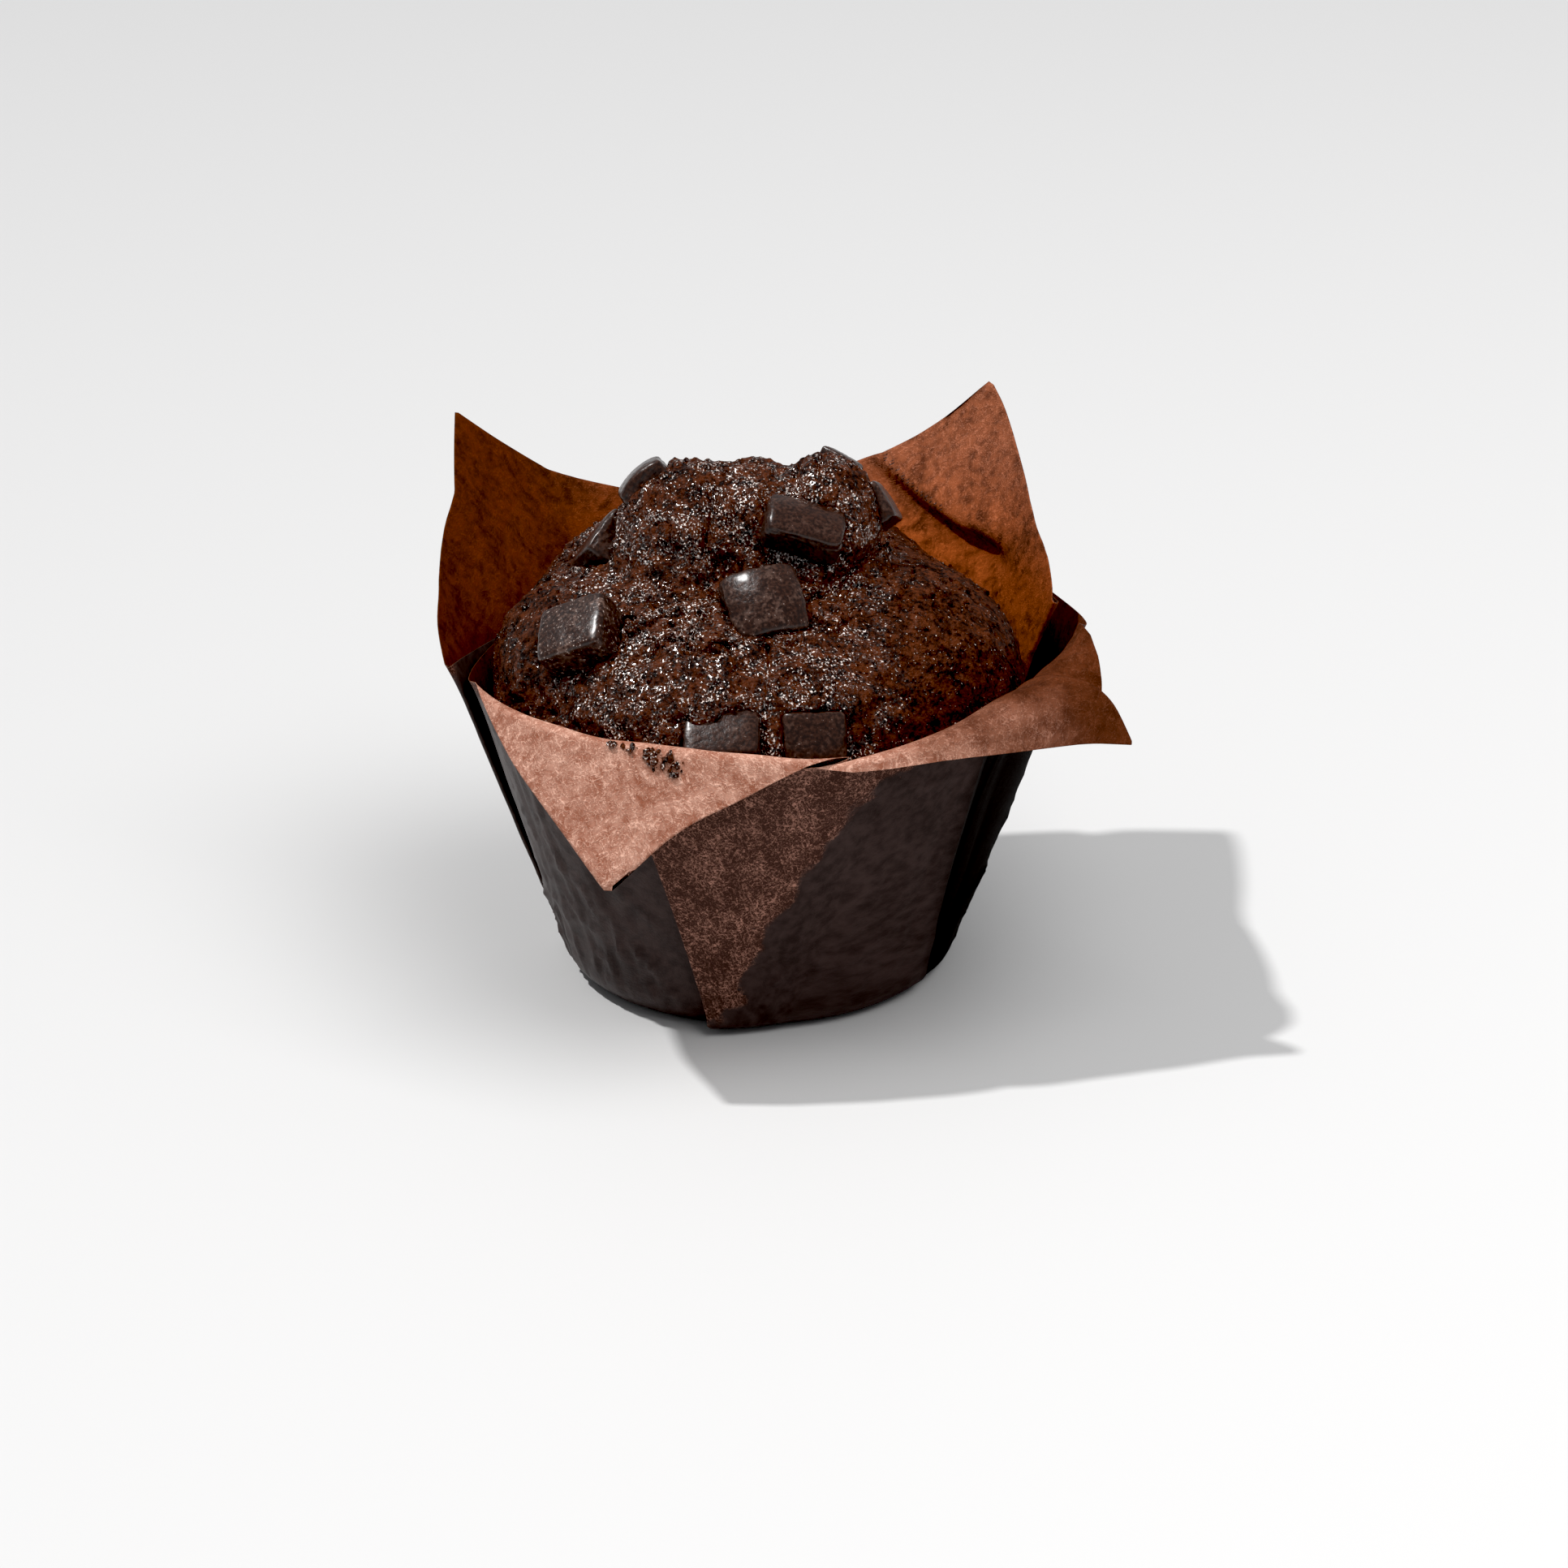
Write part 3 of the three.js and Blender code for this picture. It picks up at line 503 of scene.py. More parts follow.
def wrinkle_depth(azimuth, height, run):
    """How far the paper stands in or out of its smooth course, in millimetres."""
    a = azimuth * DEG + SWAY * wall_noise(azimuth * DEG, height, "sway")
    left_side = between(azimuth, *WRINKLED_LEFT)
    patchy = smooth(wall_noise(a, height, "patches"), *PATCH_RANGE)
    upright = wall_noise(a, height, "long") + 0.5 * wall_noise(a, height, "short")
    crease_line = wall_noise(a + height * CREASE_SLANT, height, "creases")
    crease = (1 - np.abs(crease_line)) ** CREASE_SHARPNESS * patchy
    crumple = (1 - np.abs(wall_noise(a, height, "crumples"))) ** CRUMPLE_SHARPNESS
    low = between(run, *CRUMPLED_RUNS) * (0.35 + 0.65 * patchy)
    on_wall = smooth(run, *WALL_START) * (1 - 0.6 * smooth(run, *WALL_END))
    broad = wall_noise(a, height, "petals") * smooth(run, *PETAL_START)
    depth = WRINKLE_DEPTH * upright * on_wall * (0.25 + 0.75 * left_side)
    depth = depth + CREASE_DEPTH * crease * on_wall
    depth = depth + CRUMPLE_DEPTH * (crumple - CRUMPLE_LEVEL) * low
    return depth + PETAL_WAVE_DEPTH * broad


def dent_depth(points, run):
    """The creased band across the back right petal: a ridge towards the cake, then a hollow."""
    pixel = photo_place(points)
    line = np.interp(pixel[..., 0], DENT_LINE["across"], DENT_LINE["down"])
    below = (pixel[..., 1] - line) / DENT_PIXELS
    ends = between(pixel[..., 0], *DENT_ENDS)
    back_right = (turned > DENT_AZIMUTHS[0]) & (turned < DENT_AZIMUTHS[1])
    standing = back_right * smooth(run, *DENT_START)
    return DENT_DEPTH * below * np.exp(0.5 - below ** 2 / 2) * ends * standing


def to_points(azimuth, radius, height):
    a = azimuth * DEG
    return np.stack([radius * np.cos(a), radius * np.sin(a), height], -1)


sheet_middle = to_points(sheet_azimuth, sheet_radius, sheet_height)


def sheet_normals(points):
    """Outward direction of the paper at every point, from its neighbours."""
    up = np.gradient(points, axis=0)
    across = direction_of(np.roll(points, -1, 1) - points) + direction_of(points - np.roll(points, 1, 1))
    normal = np.cross(across, up)
    normal[0] = (0, 0, -1)
    return direction_of(normal)


# %% Wrinkles laid on the sheet
STIFF_TIP = 9
STIFF_CREST = (3, 14)
WRINKLES_AT_CREST = 0.15
FOLD_FADE = (-4, 3)
FLAP_WAVE_SIZE = 7
FLAP_WAVE_DEPTH = 0.32

radial = direction_of(sheet_middle * np.array([1, 1, 0]))
flat_sheet = to_points(sheet_angles, FLOOR_RADIUS + sheet_runs, 0 * sheet_runs)
tips = [flat_sheet[-1, corner_of == k][0] for k in range(4)]
from_tip = np.min([np.linalg.norm(flat_sheet - tip, axis=-1) for tip in tips], 0)
loose = smooth(from_tip, 0, STIFF_TIP)
crest_angles = [pleat["crest"] + pleat["drift"] * np.minimum(sheet_runs, RIM_RUN) for pleat in PLEATS]
from_crest = np.min([np.abs(np.mod(sheet_azimuth - crest + 180, 360) - 180)
                     for crest in crest_angles], 0)
depth_here = wrinkle_depth(whole_turn(sheet_azimuth), sheet_height, sheet_runs)
depth_here = depth_here * lerp(WRINKLES_AT_CREST, 1, smooth(from_crest, *STIFF_CREST)) * loose
# the dent follows the wall without its pleats, so that all layers are dented alike
one_layer = to_points(sheet_azimuth, at_runs(path_radius), sheet_height)
depth_here = depth_here + dent_depth(one_layer, sheet_runs)
hanging = (petal_of == FRONT_LEFT) | (petal_of == FRONT_RIGHT)
past_fold = smooth(sheet_runs - fold_start, *FOLD_FADE) * hanging
sheet_middle = sheet_middle + radial * (depth_here * (1 - past_fold))[..., None]
# a hanging petal waves towards the cup only
flap_wave = FLAP_WAVE_DEPTH * (1 + noise_at(sheet_middle, FLAP_WAVE_SIZE))
sheet_middle = sheet_middle + sheet_normals(sheet_middle) * (flap_wave * past_fold * loose)[..., None]
print("wrinkles stand %.2f to %.2f mm" % (depth_here.min(), depth_here.max()))

# %% The sheet as a thin closed mesh
paper_low, paper_high = (np.array(corner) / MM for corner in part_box("paper_wrap"))
outward = sheet_normals(sheet_middle)
inner_face = sheet_middle - outward * PAPER_THICKNESS / 2
outer_face = sheet_middle + outward * PAPER_THICKNESS / 2
FOOT_HEIGHT = 0.05
paper_points = np.concatenate([inner_face.reshape(-1, 3), outer_face.reshape(-1, 3),
                               [[0, 0, SOLID_THICKNESS]], [[0, 0, FOOT_HEIGHT]]])
paper_points = np.clip(paper_points, paper_low, paper_high)
half = sheet_runs.size
inner_loops = np.arange(half).reshape(sheet_runs.shape)
outer_loops = inner_loops + half
paper_faces = fan(2 * half, inner_loops[0]) + fan(2 * half + 1, outer_loops[0][::-1])
paper_faces += band(outer_loops[-1], inner_loops[-1])
for row in range(len(inner_loops) - 1):
    paper_faces += band(outer_loops[row], outer_loops[row + 1])
    paper_faces += band(inner_loops[row + 1], inner_loops[row])
paper_cup = make_piece("paper_cup", paper_points, paper_faces)
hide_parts("paper_wrap")
print("paper faces:", len(paper_faces))

# %% [markdown]
# Baking darkens the paper wherever fat soaks in from the cake. The outer layer of the front
# pleat has other paper behind it and stays dry. Painting this by hand would need an image, so
# measures are stored on the mesh and the finish reads them: how soaked, oiled and polished each
# point is, how much painted shade darkens it, whether it is outside, and where it lies on the
# flat sheet. Painted shade darkens the soaked wall past the front right crease, and the oiled
# colour of the two petals that face away from the lamp.

# %% Where the paper is soaked
GREASE_EDGE = dict(down=[930, 990, 1060, 1130, 1225, 1260], across=[1150, 1062, 1004, 952, 912, 885])
GREASE_SOFTNESS = 16
GREASE_FADE = (-1.4, 1.4)
RAGGED_SIZE = 2.2
DRIFT_SIZE = 6
RAGGED_RUN = 2
FLAP_END = 318
SOAKED_TO = (RIM_RUN - 2, RIM_RUN + 8)
UNDER_CAKE = (34, 44)
FLAP_SOAKED = 0.8
BACK_PETALS_END = (192, 200)
RIGHT_PETAL_START = (292, 316)
RIGHT_PETAL_OIL = 0.94
RIGHT_PETAL_RAGGED = 12
DRIER_TOP = dict(share=0.24, runs=(55, 74), before=130, fade=40)
# painted shade: where the soaked wall is darkened, from the front right crease round the right side
SHADED_FROM_CREASE = (-4, 3)
SHADED_TO = (420, 440)
# painted shade: how much the oiled colour darkens on the front right and back left petals, which face away
# from the lamp
UNLIT_PETAL_SHADE = dict(right=0.9, left=0.75, left_start=(95, 130))

ragged = noise_at(sheet_middle, RAGGED_SIZE)
drift = noise_at(sheet_middle, DRIFT_SIZE)
seen_at = photo_place(outer_face)
grease_from = np.interp(seen_at[..., 1], GREASE_EDGE["down"], GREASE_EDGE["across"])
past_grease = (seen_at[..., 0] - grease_from) / GREASE_SOFTNESS + ragged + drift
on_right_petal = petal_of == FRONT_RIGHT
front_flap = on_right_petal & (turned < FLAP_END) & np.isin(layer_of, ["outer", "panel"])
dry_flap = np.where(front_flap, 1 - smooth(past_grease, *GREASE_FADE), 0)
below_rim = 1 - smooth(sheet_runs + RAGGED_RUN * ragged, *SOAKED_TO)
under_cake = 1 - smooth(sheet_runs + RAGGED_RUN * ragged, *UNDER_CAKE)
soaked_outside = below_rim * (1 - dry_flap)
soaked_inside = np.where(front_flap, under_cake * FLAP_SOAKED, under_cake)
back_petals = (1 - smooth(turned, *BACK_PETALS_END)) * (1 - on_right_petal)
turned_on = np.where(turned < 90, turned + 360, turned)
right_petal = smooth(turned_on + RIGHT_PETAL_RAGGED * drift, *RIGHT_PETAL_START)
right_petal = RIGHT_PETAL_OIL * on_right_petal * right_petal
drier = smooth(sheet_runs, *DRIER_TOP["runs"]) * smooth(DRIER_TOP["before"] - turned, 0, DRIER_TOP["fade"])
oiled = np.maximum(back_petals, right_petal) * (1 - DRIER_TOP["share"] * drier)
# painted shade: past the front right crease, where the wall turns from the lamps, the soaked colour goes
# almost black
crease_at = whole_turn(sheet_azimuth[:, corner_of == FRONT_RIGHT])
round_from_left = np.mod(sheet_azimuth - 90, 360) + 90
painted_shade = smooth(round_from_left - crease_at, *SHADED_FROM_CREASE)
painted_shade = painted_shade * (1 - smooth(round_from_left, *SHADED_TO))
# the left wall, which faces the lamp, has the most polish
polished = np.clip(0.5 - 0.75 * np.cos(sheet_azimuth * DEG), 0, 1)
# painted shade on the two petals that face away from the lamp
unlit_petal_shade = UNLIT_PETAL_SHADE["right"] * right_petal
unlit_petal_shade = unlit_petal_shade + UNLIT_PETAL_SHADE["left"] * smooth(turned, *UNLIT_PETAL_SHADE["left_start"]) * back_petals


def store(piece, name, values):
    layer = piece.data.attributes.new(name, "FLOAT", "POINT")
    layer.data.foreach_set("value", np.asarray(values, np.float32).ravel())


# for each measure: its values inside and outside, then those of the two points under the foot
ones = np.ones(sheet_runs.shape)
for name, inside, outside, foot in (
        ("soaked", soaked_inside, soaked_outside, (1, 1)), ("oiled", oiled, oiled, (0, 0)),
        ("polished", polished, polished, (0, 0)), ("unlit_petal_shade", unlit_petal_shade, unlit_petal_shade, (0, 0)),
        ("painted_shade", painted_shade, painted_shade, (0, 0)), ("outside", 0 * ones, ones, (0, 1))):
    store(paper_cup, name, np.concatenate([inside.ravel(), outside.ravel(), foot]))
sheet_layer = paper_cup.data.attributes.new("sheet", "FLOAT_VECTOR", "POINT")
both_faces = np.concatenate([flat_sheet.reshape(-1, 3), flat_sheet.reshape(-1, 3), np.zeros((2, 3))])
sheet_layer.data.foreach_set("vector", both_faces.astype(np.float32).ravel())
print("soaked share of the outside: %.2f" % soaked_outside.mean())

# %% [markdown]
# The cake rises out of the cup as a dome of swollen lobes with a cracked crown. Every direction
# from its middle meets the crust once, so the crust is one distance for each direction: the
# lobes first, then lumps, crags and cracks on top.

# %% Lobes of the risen cake
DOME_CENTRE = np.array([0, 0, 42])
LOBES = {
    "dome": ((0, 0, 44), (38, 38, 21)),
    "crown left": ((-9, 1, 60), (12, 14.5, 16.3)),
    "crown middle": ((0, 1, 60), (12, 13, 16.2)),
    "crown right": ((9.5, 0, 60.5), (10, 12, 16.8)),
    "right lobe": ((20, -6, 46), (18.5, 22, 16.5)),
    "left lobe": ((-21, -5, 46), (17, 20, 15.5)),
    "front lobe": ((-5, -20, 47), (22, 18, 14)),
    "back lobe": ((8, 20, 46), (21, 18, 15.5)),
    "back left lobe": ((-14, 16, 48), (17, 17, 16)),
}
LOBE_BLEND = 0.9
LUMP_SIZE = 7.5
LUMP_HEIGHT = 0.9
LUMP_SEED = 5
CRAG_SIZE = 3.2
CRAG_HEIGHT = 0.5
CRAG_SEED = 9
CAKE_GAP = 0.65
CALM_SIDE = dict(roughness=0.35, edge=20, fade=14)


def lobe_reach(direction, centre, radii):
    d = direction / np.array(radii)
    c = (np.array(centre) - DOME_CENTRE) / np.array(radii)
    half_way = d @ c
    size = (d * d).sum(-1)
    under = half_way ** 2 - size * (c @ c - 1)
    return np.where(under < 0, 0, (half_way + np.sqrt(np.maximum(under, 0))) / size)


def roughness_at(points):
    """The right side of the cake rose smoothly. The rest is craggy."""
    rough = smooth(CALM_SIDE["edge"] - points[..., 0], 0, CALM_SIDE["fade"])
    return lerp(CALM_SIDE["roughness"], 1, rough)


def cake_reach(direction):
    reaches = np.array([lobe_reach(direction, *lobe) for lobe in LOBES.values()])
    most = reaches.max(0)
    reach = most + LOBE_BLEND * np.log(np.exp((reaches - most) / LOBE_BLEND).sum(0))
    p = direction * reach[..., None]
    lumps = noise_at(p, LUMP_SIZE, (LUMP_SEED, 0, 0))
    crags = noise_at(p, CRAG_SIZE, (0, CRAG_SEED, 0))
    rough = roughness_at(p)
    return reach + LUMP_HEIGHT * lumps * rough - CRAG_HEIGHT * np.abs(crags) * rough


def cup_radius(height, inset):
    middle = HEEL_RADIUS + SOLID_THICKNESS / 2
    arc = HEEL_RADIUS - inset
    heel_top = middle - arc * math.sin(WALL_FLARE * DEG)
    on_heel = FLOOR_RADIUS + np.sqrt(np.maximum(arc ** 2 - (middle - height) ** 2, 0))
    on_wall = FLOOR_RADIUS + arc * math.cos(WALL_FLARE * DEG)
    on_wall = on_wall + (height - heel_top) * math.tan(WALL_FLARE * DEG)
    return np.where(height < heel_top, on_heel, on_wall)


def keep_in_cup(points):
    most = cup_radius(points[..., 2], CAKE_GAP)
    radius = np.hypot(points[..., 0], points[..., 1])
    share = np.where(radius > most, most / np.maximum(radius, 1e-6), 1)
    return points * np.stack([share, share, np.ones_like(share)], -1)


def direction_to(azimuth, elevation):
    level = np.cos(elevation)
    return np.stack([level * np.cos(azimuth), level * np.sin(azimuth),
                     np.sin(elevation) + 0 * azimuth], -1)


summit = cake_reach(np.array([[0.0, 0.0, 1.0]]))[0] + DOME_CENTRE[2]
print("the crown's top is %.1f mm up" % summit)

# %% [markdown]
# The chocolate was snapped from a bar, so each piece is a block with softened edges. The cake
# has to be sunk round each one, so where they sit is worked out before the crust is made.

# %% Where the chocolate sits
# azimuth, elevation, tilt of the face, spin, size, and share of its thickness that is buried
CHUNKS = [
    (-54, 67.5, 64, -38, (11.5, 8, 5.5), 0.38),
    (-86, 45, 42, 12, (11, 10.5, 8), 0.4),
    (-140, 25.5, 48, 38, (11, 9.5, 7), 0.3),
    (-77, 9, 20, -3, (9.5, 9, 6.5), 0.84),
    (-97, 12, 52, 6, (10.8, 7.8, 6), 0.84),
    (170, 42, 35, 50, (12, 8.5, 6), 0.45),
    (167, 61.5, 45, 20, (9.5, 8, 5.5), 0.62),
    (24, 68, 58, 35, (5.5, 5, 4), 0.66),
    (1, 57.5, 35, 60, (6.5, 5.5, 4.5), 0.62),
    (62, 34, 50, 20, (12, 11, 7), 0.4),
    (108, 52, 50, 70, (11.5, 10, 7), 0.45),
    (118, 20, 45, -20, (11, 10, 6.5), 0.5),
]
CHUNK_SQUARENESS = 9
PLACING_ERROR = 0.6


def chunk_placement(azimuth, elevation, face_up, spin, size, buried):
    """Middle of a chunk and its three directions: sideways, upward and face."""
    towards = direction_to(np.array([azimuth * DEG]), np.array([elevation * DEG]))
    point = keep_in_cup(towards * cake_reach(towards)[..., None] + DOME_CENTRE)[0]
    face = direction_to(np.array(azimuth * DEG), np.array(face_up * DEG))
    sideways = direction_of(np.cross([0, 0, 1], face))
    upward = np.cross(face, sideways)
    c, s = math.cos(spin * DEG), math.sin(spin * DEG)
    axes = np.array([c * sideways + s * upward, c * upward - s * sideways, face])
    return point + face * size[2] * (0.5 - buried), axes


placements = [chunk_placement(*chunk) for chunk in CHUNKS]
for number, (middle, _) in enumerate(placements, 1):
    low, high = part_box(f"chocolate_chunk_{number:02d}")
    gap = np.linalg.norm(middle - (np.array(low) + np.array(high)) / 2 / MM)
    assert gap < PLACING_ERROR, f"chunk {number} is {gap:.2f} mm from its solid"
print("every chunk sits in its solid")

# %% Relief of the crust
PEBBLE_SIZE = 1.9
PEBBLE_HEIGHT = 0.38
GRIT = [(0.5, 1.5), (0.26, 1)]
RELIEF_LEVEL = 0.3
PIT_DEPTH = 0.7
PIT_RANGE = (0.4, 0.72)
CRACK_DEPTH = 1.5
CRACK_SIZE = (5, 5, 4)
CRACK_WIDTH = (0.02, 0.14)
CRACK_WOBBLE = (0.35, 1.8)
TEAR_SIZE = 8
TEAR_RANGE = (-0.3, 0.2)
TEAR_HEIGHTS = (54, 61)
SOCKET_DEPTH = 1.6
SOCKET_EDGE = (-0.9, 0.15)
LIP = dict(height=0.35, middle=0.8, width=0.6)
CREVICE_DEPTH = 2.0
CREVICE_PIXELS = 9
CREVICE_LINE = dict(across=[1005, 1030, 1060, 1098], down=[728, 714, 690, 655])
CREVICE_ENDS = ((1000, 1020), (1095, 1108))
CREVICE_BACK = (5, 12)
GRAIN_SHIFT = 0.4
GRAIN_REACH = 0.8
GRAIN_SEED = 17


def grit(points, size):
    """Grains packed side by side: 1 on top of a grain, 0 between grains."""
    place = points / size
    cell = np.floor(place)
    nearest = np.full(place.shape[:-1], np.inf)
    for offset in np.ndindex(3, 3, 3):
        near = cell + np.array(offset) - 1
        shift = np.stack([lattice(near[..., 0] + GRAIN_SEED * k, near[..., 1], near[..., 2])
                          for k in range(3)], -1)
        grain = near + 0.5 + GRAIN_SHIFT * shift
        nearest = np.minimum(nearest, np.linalg.norm(grain - place, axis=-1))
    return np.clip(1 - nearest / GRAIN_REACH, 0, 1)


def crevice_depth(points):
    """The dark split between the crown and the smooth right lobe."""
    pixel = photo_place(points)
    line = np.interp(pixel[..., 0], CREVICE_LINE["across"], CREVICE_LINE["down"])
    on_front = 1 - smooth(points[..., 1], *CREVICE_BACK)
    across = np.exp(-((pixel[..., 1] - line) / CREVICE_PIXELS) ** 2)
    return CREVICE_DEPTH * across * between(pixel[..., 0], *CREVICE_ENDS) * on_front


def fine_crust(points):
    """Extra relief that the solid leaves out: tears, pits, crumbs of crust and sunk sockets."""
    rough = roughness_at(points)
    pebbles = PEBBLE_HEIGHT * noise_at(points, PEBBLE_SIZE, (8, 0, 0))
    pebbles = pebbles + sum(height * grit(points, size) for height, size in GRIT)
    pits = smooth(noise_at(points, PEBBLE_SIZE, (4, 0, 9)), *PIT_RANGE) * PIT_DEPTH
    wobble = CRACK_WOBBLE[0] * noise_at(points, CRACK_WOBBLE[1])
    crack_line = np.abs(noise_at(points, CRACK_SIZE, (2, 0, 5)) + wobble)
    torn = smooth(noise_at(points, TEAR_SIZE, (0, 3, 0)), *TEAR_RANGE)
    torn = torn * smooth(points[..., 2], *TEAR_HEIGHTS) * rough
    cracks = (1 - smooth(crack_line, *CRACK_WIDTH)) * torn
    relief = (pebbles - RELIEF_LEVEL - pits) * (0.3 + 0.7 * rough) - CRACK_DEPTH * cracks
    relief = relief - crevice_depth(points)
    for (middle, axes), chunk in zip(placements, CHUNKS):
        near = np.linalg.norm(points - middle, axis=-1) < max(chunk[4])
        local = (points[near] - middle) @ axes.T / (np.array(chunk[4]) / 2)
        inside = (np.abs(local) ** CHUNK_SQUARENESS).sum(-1) ** (1 / CHUNK_SQUARENESS)
        beyond = (inside - 1) * min(chunk[4]) / 2
        sunk = -SOCKET_DEPTH * (1 - smooth(beyond, *SOCKET_EDGE))
        raised = LIP["height"] * np.exp(-((beyond - LIP["middle"]) / LIP["width"]) ** 2)
        relief[near] += sunk + raised
    return relief


# %% [markdown]
# Rings of points would crowd together at the crown and thin out at the rim. A square net laid
# over the dome keeps its cells alike everywhere: each square ring of the net becomes one round
# ring of the dome. The hidden wall below hangs from the net's outermost ring.

# %% The crust
NET_CELLS = 284
NET_FOOT_FADE = 4
WALL_HEIGHTS = [36, 25, 14, 3.6, 1.6, 0.82]
DOME_FOOT = (39, 44)

lowest = math.atan2(DOME_FOOT[1] - DOME_CENTRE[2], DOME_FOOT[0])
net_steps = np.linspace(-1, 1, NET_CELLS + 1)
net_u, net_v = np.meshgrid(net_steps, net_steps, indexing="ij")
net_ring = np.maximum(np.abs(net_u), np.abs(net_v))
wide = np.abs(net_u) >= np.abs(net_v)
turn_share = math.pi / 4 * np.where(wide, net_v, net_u) / np.maximum(net_ring, TINY)
side_turn = np.where(net_u >= 0, turn_share, math.pi - turn_share)
end_turn = np.where(net_v >= 0, math.pi / 2 - turn_share, 3 * math.pi / 2 + turn_share)
net_turn = np.where(wide, side_turn, end_turn)
towards = direction_to(net_turn, lerp(math.pi / 2, lowest, net_ring))
dome = towards * cake_reach(towards)[..., None] + DOME_CENTRE
foot_fade = smooth((1 - net_ring) * NET_CELLS / 2, 0, NET_FOOT_FADE)
dome = keep_in_cup(dome + towards * (fine_crust(dome) * foot_fade)[..., None])

net_index = np.arange(dome[..., 0].size).reshape(net_turn.shape)
crust_faces = net_faces(net_index).reshape(-1, 4).tolist()
rim_loop = np.concatenate([net_index[-1, :-1], net_index[::-1, -1][:-1], net_index[0, ::-1][:-1],
                           net_index[:, 0][:-1]])
crust_points = [dome.reshape(-1, 3)]
loop_above = rim_loop
next_index = net_index.size
for height in WALL_HEIGHTS:
    radius = float(cup_radius(height, CAKE_GAP))
    crust_points.append(to_points(net_turn.ravel()[rim_loop] / DEG, radius,
                                  np.full(len(rim_loop), float(height))))
    loop = next_index + np.arange(len(rim_loop))
    crust_faces += band(loop, loop_above)
    next_index += len(rim_loop)
    loop_above = loop
crust_faces += fan(next_index, loop_above[::-1])
crust_points = np.concatenate([*crust_points, [[0, 0, WALL_HEIGHTS[-1]]]])
cake_low, cake_high = (np.array(corner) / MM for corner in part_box("muffin_cake"))
crust_points = np.clip(crust_points, cake_low, cake_high)
crust = make_piece("baked_crust", crust_points, crust_faces)
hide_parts("muffin_cake")
print("crust faces:", len(crust_faces))

# %% [markdown]
# A snapped piece of chocolate has flat faces, slightly rounded edges and small chips. The solid
# has the block. Here each face is divided finely so that chips and waves show at the edges.

# %% Chocolate pieces
CHUNK_DIVISIONS = 22
CHUNK_UNEVENNESS = 0.035
CHUNK_WAVES = 1.3
SEED_SPACING = 7
CHIP_DEPTH = 0.03
CHIP_WAVES = 4
FINE_DEPTH = 0.008
FINE_WAVES = 11
# chunks cut from a round-backed stick: how far the face falls towards its sides and its ends
ROUNDED_FACES = {1: (0.06, 0.34), 2: (0.5, 0.2), 4: (0.3, 0.1), 7: (0.1, 0.3)}
FLAT_FACE = (0.06, 0.06)


def block_grid():
    """Points and faces of a cube from -1 to 1, divided finely and joined along its edges."""
    steps = np.linspace(-1, 1, CHUNK_DIVISIONS + 1)
    u, v = np.meshgrid(steps, steps, indexing="ij")
    sides = [np.roll(np.stack([np.full(u.shape, side), u, v], -1), axis, -1)
             for side in (1.0, -1.0) for axis in range(3)]
    places = np.reshape(sides, (-1, 3))
    _, first, index = np.unique(places.round(5), axis=0, return_index=True, return_inverse=True)
    faces = net_faces(index.reshape(6, *u.shape))
    faces[3:] = faces[3:, ..., ::-1]
    return places[first], faces.reshape(-1, 4).tolist()


block_points, block_faces = block_grid()


def chocolate_piece(number, chunk, placement):
    middle, axes = placement
    sum_of_powers = (np.abs(block_points) ** CHUNK_SQUARENESS).sum(-1)
    unit = block_points / sum_of_powers[:, None] ** (1 / CHUNK_SQUARENESS)
    seed = number - 1
    uneven = noise_at(unit * CHUNK_WAVES, 1, (seed * SEED_SPACING, 0, 0))
    chips = np.abs(noise_at(unit * CHIP_WAVES, 1, (seed, 0, 0)))
    fine = noise_at(unit * FINE_WAVES, 1, (0, seed, 0))
    scale = 1 + CHUNK_UNEVENNESS * uneven - CHIP_DEPTH * chips - FINE_DEPTH * (1 + fine)
    across, along = ROUNDED_FACES.get(number, FLAT_FACE)
    low_edges = 1 - (across * unit[:, 0] ** 2 + along * unit[:, 1] ** 2) * (unit[:, 2] > 0)
    shaped = unit * np.column_stack([np.ones((len(unit), 2)), low_edges])
    points = (shaped * scale[:, None] * np.array(chunk[4]) / 2) @ axes + middle
    name = f"chocolate_chunk_{number:02d}"
    piece = make_piece(f"snapped_{name}", points, block_faces)
    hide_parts(name)
    return piece


chocolate = [chocolate_piece(n, chunk, place)
             for n, (chunk, place) in enumerate(zip(CHUNKS, placements), 1)]
print("chocolate pieces:", len(chocolate))

# %% [markdown]
# Crumbs fell on the front left petal when the paper was folded, and a few flakes lie on the
# crown. Each kind is one mesh of small broken shapes, pressed a little into what carries it.

# %% Crumbs and flakes
scatter = np.random.default_rng(7)
CRUMB_CLUMPS = [(766, 908), (788, 914), (806, 934), (833, 941)]
CRUMB_SPREAD = 8
CRUMB_COUNT = 64
CRUMB_SIZES = (0.3, 1.0)
LARGEST_CRUMB = 1.5
FLAKE_COUNT = 260
FLAKE_SIZES = (0.4, 1.1)
FLAKE_RISE = (0.35, 0.98)
BIT_STRETCH = (0.6, 1.3)
BIT_UNEVENNESS = (0.75, 1.2)
BIT_LIFT = 0.22
GOLDEN = (1 + 5 ** 0.5) / 2
CORNER_REACH = 1.9


def broken_bit(size):
    """A small uneven lump with twenty faces."""
    corners = []
    for a in (-1, 1):
        for b in (-GOLDEN, GOLDEN):
            corners += [(0, a, b), (a, b, 0), (b, 0, a)]
    corners = np.array(corners) / CORNER_REACH
    stretch = scatter.uniform(*BIT_STRETCH, 3)
    return corners * size / 2 * stretch * scatter.uniform(*BIT_UNEVENNESS, (12, 1))


